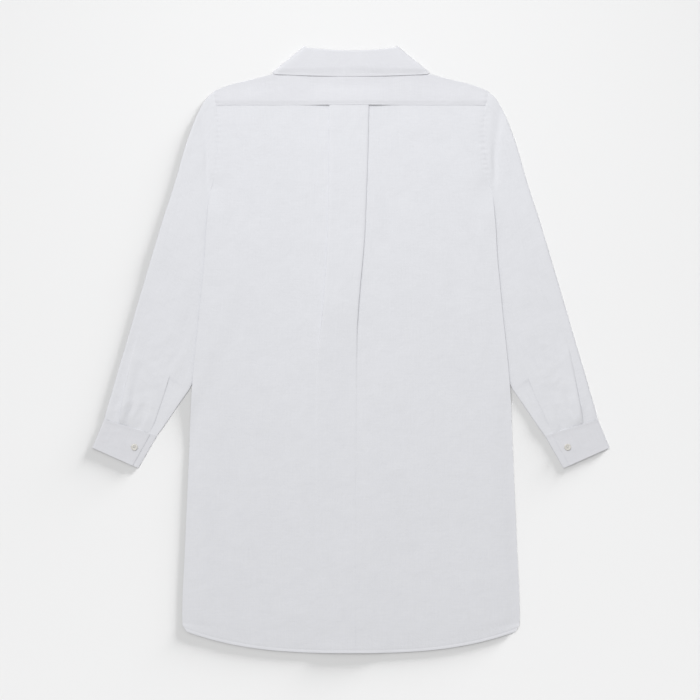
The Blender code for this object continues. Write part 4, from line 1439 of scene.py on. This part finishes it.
def crumple_group():
    """Fine creases that washing leaves in linen, as a height from 0 to 1.

    Two sizes of noise are added, the smaller one folded about its middle, so that it
    makes narrow ridges between soft hollows. Shade is painted shade: the larger noise,
    so that the colour is darker where the creases are low.
    """
    tree, nodes, given, result = node_group("washed_creases_and_shade", Size=0.03)
    scale = nodes.math("DIVIDE", 1.0, given["Size"])
    broad = nodes.noise(given["Vector"], scale, 4.0, 0.55, 0.6)
    fine = nodes.noise(given["Vector"], nodes.times(scale, 2.7), 3.0, 0.5, 0.9)
    ridge = nodes.math("ABSOLUTE", nodes.math("SUBTRACT", fine, 0.5))
    ridge = nodes.math("SUBTRACT", 1.0, nodes.times(ridge, 4.0))
    height = nodes.math("ADD", nodes.times(broad, 0.8), nodes.times(ridge, 0.16))
    nodes.fill(result, {"Height": height, "Shade": nodes.math("SUBTRACT", broad, 0.5)})
    return tree


def new_material(name):
    """A new material, a way to add its nodes, its shader, and the place on the object."""
    material = bpy.data.materials.new(name)
    material.use_nodes = True
    nodes = Nodes(material.node_tree)
    shader = material.node_tree.nodes["Principled BSDF"]
    return material, nodes, shader, nodes.add("TexCoord")["Object"]


def linen(name, colour, crease_size, crease_depth):
    """White plain-woven cloth: a weave on the sheet's own map, creases on its place."""
    material, nodes, shader, place = new_material(name)
    own_map = nodes.add("UVMap", uv_map="cloth")[0]
    given = {"Vector": own_map, "Threads": THREADS, "Slubs": SLUBS}
    threads = nodes.group(weave, given)
    washed = nodes.group(creases, {"Vector": place, "Size": crease_size})
    shade = nodes.math("MULTIPLY_ADD", threads["Shade"], 0.12, 1.0)
    # tone is the slubs' own tone plus painted shade, darker where the washed creases are low
    tone = nodes.math("MULTIPLY_ADD", washed["Shade"], 0.05, shade)
    painted = nodes.mixed(1.0, (*colour, 1), nodes.grey(tone), "MULTIPLY")
    folded = nodes.bump(1.0, crease_depth, washed["Height"])
    woven = nodes.bump(0.3, 0.0001, threads["Height"], Normal=folded)
    looks = {"Base Color": painted, "Normal": woven, "Roughness": 0.88}
    looks |= {"Specular IOR Level": 0.25, "Sheen Weight": 0.12, "Sheen Roughness": 0.5}
    nodes.fill(shader, looks)
    return material


def thread_material():
    """Twisted cotton thread: fine bands across it, with painted shade in their low parts."""
    material, nodes, shader, place = new_material("sewing_thread")
    twist_and_shade = nodes.noise(place, 2600.0, 1.0)
    # Painted shade: the thread's colour is darker where the bump of its twist is low
    colour = nodes.mixed(twist_and_shade, (0.68, 0.69, 0.71, 1), (0.84, 0.85, 0.87, 1))
    bump = nodes.bump(0.5, 0.0001, twist_and_shade)
    nodes.fill(shader, {"Base Color": colour, "Normal": bump, "Roughness": 0.7})
    return material


def pearl():
    """Off-white pearl: cloudy bands of cream and grey, glossy."""
    material, nodes, shader, place = new_material("pearl_shell")
    cloud = nodes.noise(place, 260.0, 3.0, 0.6, 1.6)
    cloud = nodes.add("MapRange", {"Value": cloud, "From Min": 0.3, "From Max": 0.7})[0]
    colour = nodes.mixed(cloud, (0.62, 0.60, 0.55, 1), (0.86, 0.84, 0.79, 1))
    gloss = nodes.add("MapRange", {"Value": cloud, "To Min": 0.3, "To Max": 0.18})[0]
    looks = {"Base Color": colour, "Roughness": gloss}
    nodes.fill(shader, looks | {"Coat Weight": 0.4, "Coat Roughness": 0.08})
    return material


# The garment

weave, creases = weave_group(), crumple_group()
white_linen = linen("white_linen_cloth", (0.79, 0.795, 0.825), 0.03, 0.0009)
# The doubled linen is a darker copy of the same cloth: painted shade on the yoke, band, collar and cuffs
doubled_linen_painted_shade = linen("white_linen_doubled_painted_shade", (0.764, 0.766, 0.797), 0.02, 0.0005)
thread, shell = thread_material(), pearl()


def over_sleeve(down):
    """How far a body piece reaches over the sleeve sewn to it, most under the arm."""
    return 1.4 + 1.4 * ease(225, 250, down) - 2.8 * ease(290, 340, down)


def pressed_down(down):
    """How far the edge over the sleeve is pressed down on it."""
    return 0.6 * (1 - ease(225, 245, down))


walls = reaching(back_walls(), over_sleeve, pressed_down)
rows = row_steps(walls, 4.8, ((slice(0, ARMHOLE_ROWS), 2.4), (-1, 1.3)))
sheets = [sheet_of_cloth("back", walls, back_relief, step=4.3, rows=rows)]
walls = reaching(yoke_walls(), over_sleeve, pressed_down)
rows = row_steps(walls, 1.9, ((-1, 1.0),))
sheets.append(sheet_of_cloth("yoke", walls, yoke_relief, thick=TWO_LAYERS, step=2.4, rows=rows))
walls = front_walls(1, (PLACKET_HALF + SEAM,), right_under)
sheets.append(sheet_of_cloth("front_right", walls, front_relief, face=0, step=5.0))
walls = front_walls(-1, (2 - PLACKET_HALF, 0), left_under)
sheets.append(sheet_of_cloth("front_left", walls, front_relief, face=0, step=5.0))
walls = placket_walls()
sheets.append(sheet_of_cloth("placket", walls, band_relief, thick=TWO_LAYERS, face=0, step=2.2))
for name, walls, relief in zip(("leaf", "stand"), collar_walls(), (leaf_relief, stand_relief)):
    sheets.append(sheet_of_cloth(f"collar_{name}", walls, relief, thick=TWO_LAYERS, step=2.0))
closed_rings = sum(chord.lap == 0 for chord in SLEEVE_CHORDS) + len(UNDER_BODY) - 1
sleeves, cuffs = [], []
for side, word in SIDES:
    walls = tucked_in(sleeve_walls(side), False, UNDER_BODY)
    walls = tucked_in(walls, True, INTO_CUFF)
    form = {"step": 3.0, "rows": row_steps(walls, 3.3, ((slice(0, 6), 1.6),))}
    form["closed_rows"] = closed_rings
    sleeves.append(sheet_of_cloth(f"sleeve_{word}", walls, sleeve_relief, **form))
    walls = cuff_walls(side)
    cuffs.append(sheet_of_cloth(f"cuff_{word}", walls, cuff_relief, thick=TWO_LAYERS, step=1.3))

# The size that each piece was cut to, in metres, and how it lies
Cut = namedtuple("Cut", "layers width length area held rests_on")
SLEEVE_CUT = Cut(1, 0.30, 0.57, 0.117, "folded", ["floor"])
CUFF_CUT = Cut(2, 0.22, 0.055, None, "folded", ["floor"])
CUTS = (
    Cut(1, 0.72, 0.91, 0.49, "laid", ["front_right_cloth", "front_left_cloth"]),
    Cut(2, 0.46, 0.09, 0.0235, "laid", ["back_cloth"]),
    Cut(1, 0.28, 0.98, 0.225, "laid", ["floor"]),
    Cut(1, 0.30, 0.98, 0.25, "laid", ["floor"]),
    Cut(2, 0.03, 0.88, None, "laid", ["front_right_cloth"]),
    Cut(2, 0.50, 0.075, 0.028, "folded", ["yoke_cloth"]),
    Cut(2, 0.42, 0.035, None, "folded", ["yoke_cloth"]),
    *(SLEEVE_CUT, SLEEVE_CUT, CUFF_CUT, CUFF_CUT),
)
for piece, cut in zip(sheets + sleeves + cuffs, CUTS):
    # Pieces of two layers take the darker linen, whose colour is painted shade
    dressed(piece, white_linen if cut.layers == 1 else doubled_linen_painted_shade)
    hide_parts(piece.name.removesuffix("_cloth"))

# Stitches. axis is 0 where the inset is measured down the sheet's columns, 1 along its rows.

Seam = namedtuple("Seam", "sheet axis from_end inset")
SEAMS = {
    "yoke": table(Seam, ("yoke", 0, True, YOKE_SEAM), ("yoke", 0, True, YOKE_SECOND_SEAM)),
    "collar": table(Seam, ("collar_leaf", 1, False, LEAF_SEAM)),
    "back_hem": table(Seam, ("back", 0, True, BACK_HEM_SEAM)),
    "front_hem": [Seam(f"front_{word}", 0, True, FRONT_HEM_SEAM) for _, word in SIDES],
    "band": [Seam("placket", 1, from_end, BAND_SEAM) for from_end in (False, True)],
}
for _, word in SIDES:
    cuff = f"cuff_{word}"
    SEAMS[cuff] = [Seam(cuff, 0, False, CUFF_SEAM), Seam(cuff, 0, True, CUFF_EDGE_SEAM)]
    SEAMS[cuff] += [Seam(cuff, 1, from_end, CUFF_LAP_SEAM) for from_end in (False, True)]
for name, seams in SEAMS.items():
    fine = name.startswith(("collar", "cuff"))
    pitch, length = (FINE_PITCH, FINE_LENGTH) if fine else (STITCH_PITCH, STITCH_LENGTH)
    sewn(f"stitches_{name}", [stitches(seam, pitch, length) for seam in seams])

# Buttons and buttonholes

Button = namedtuple("Button", "name node place turn faces_up hole_turn hole_height")
BUTTONS = []
for side, word in SIDES:
    across, down = CUFF_BUTTON
    run = CUFF_OUTER[0] - CUFF_INNER[0]
    turn = -side * math.atan2(run[1], run[0])
    place = (side * across, down, CUFF_TOP + SEAM)
    looks = (f"button_{word}", f"button_cuff_{word}", place, turn, True, turn, CUFF_TOP + 0.02)
    BUTTONS.append(Button(*looks))
front_downs = FIRST_FRONT_BUTTON + np.arange(FRONT_BUTTONS) * FRONT_BUTTON_STEP
lifts = [COLLAR_LIFT] + [PLACKET_LIFT] * FRONT_BUTTONS
for number, (down, lift) in enumerate(zip((STAND_BUTTON, *front_downs), lifts)):
    name = f"button_front_{number}" if number else "button_stand"
    place = (0, down, lift - SEAM - BUTTON_THICK)
    hole_turn = math.pi / 2 if number else 0
    looks = (name, name, place, 0.7 * math.sin(5 * number), False, hole_turn, lift - 0.02)
    BUTTONS.append(Button(*looks))
threads = []
for button in BUTTONS:
    name, node, place, turn, faces_up, hole_turn, hole_height = button
    piece = dressed(button_piece(f"{name}_pearl", place, turn, faces_up), shell)
    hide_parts(node)
    threads.append(button_thread(place, turn, faces_up))
    threads.append(buttonhole(*place[:2], hole_height, hole_turn, 1 if faces_up else -1))
sewn("button_threads", threads)


# Floor, light and camera

def standing(name, data, place=(0, 0, 0)):
    """A new object at a place in the scene."""
    holder = bpy.data.objects.new(name, data)
    holder.location = place
    bpy.context.scene.collection.objects.link(holder)
    return holder


def floor():
    """A pale floor, much larger than the view, with a faint glow that evens its tone."""
    signs = ((-1, -1), (1, -1), (1, 1), (-1, 1))
    corners = [(x * FLOOR_REACH, y * FLOOR_REACH, 0) for x, y in signs]
    mesh = bpy.data.meshes.new("floor")
    mesh.from_pydata(corners, [], [(0, 1, 2, 3)])
    surface = standing("floor", mesh)
    material, nodes, shader, place = new_material("pale_floor")
    values = {0: place, 1: (*FLOOR_GLOW_RISE, 0)}
    rise = nodes.add("VectorMath", values, operation="DOT_PRODUCT")["Value"]
    glow = nodes.math("MAXIMUM", nodes.math("ADD", rise, FLOOR_GLOW), 0.0)
    looks = {"Emission Color": nodes.grey(glow), "Emission Strength": 1.0}
    looks |= {"Base Color": (0.6, 0.6, 0.6, 1), "Roughness": 1.0, "Specular IOR Level": 0.0}
    nodes.fill(shader, looks)
    mesh.materials.append(material)
    return surface


def lit(light):
    """Adds a light at one point that shines at another."""
    data = bpy.data.lights.new(light.name, light.kind)
    for key, value in light.settings.items():
        setattr(data, key, value)
    holder = standing(light.name, data, light.place)
    way = np.array(light.aim, float) - np.array(light.place, float)
    way /= np.linalg.norm(way)
    holder.rotation_euler = (math.acos(-way[2]), 0, math.atan2(-way[0], way[1]))
    return holder


def studio(surface):
    """Broad soft light from above the collar, and a low one that casts the floor's shadows."""
    low, *_ = (lit(light) for light in LIGHTS)
    floor_only = bpy.data.collections.new("floor_only")
    floor_only.objects.link(surface)
    low.light_linking.receiver_collection = floor_only
    world = bpy.data.worlds.new("studio")
    bpy.context.scene.world = world
    world.use_nodes = True
    surround = world.node_tree.nodes["Background"]
    surround.inputs["Color"].default_value = (1, 1, 1, 1)
    surround.inputs["Strength"].default_value = SURROUND
    bpy.context.scene.view_settings.view_transform = "Standard"


def camera():
    """Straight above the garment, framed as the square picture."""
    view = bpy.data.cameras.new("camera")
    view.sensor_width = SENSOR
    view.lens = SENSOR * (CAMERA[2] - CLOTH_LEVEL) / (PICTURE * PIXEL)
    view.clip_end = 50
    bpy.context.scene.camera = standing("camera", view, CAMERA)


studio(floor())
camera()
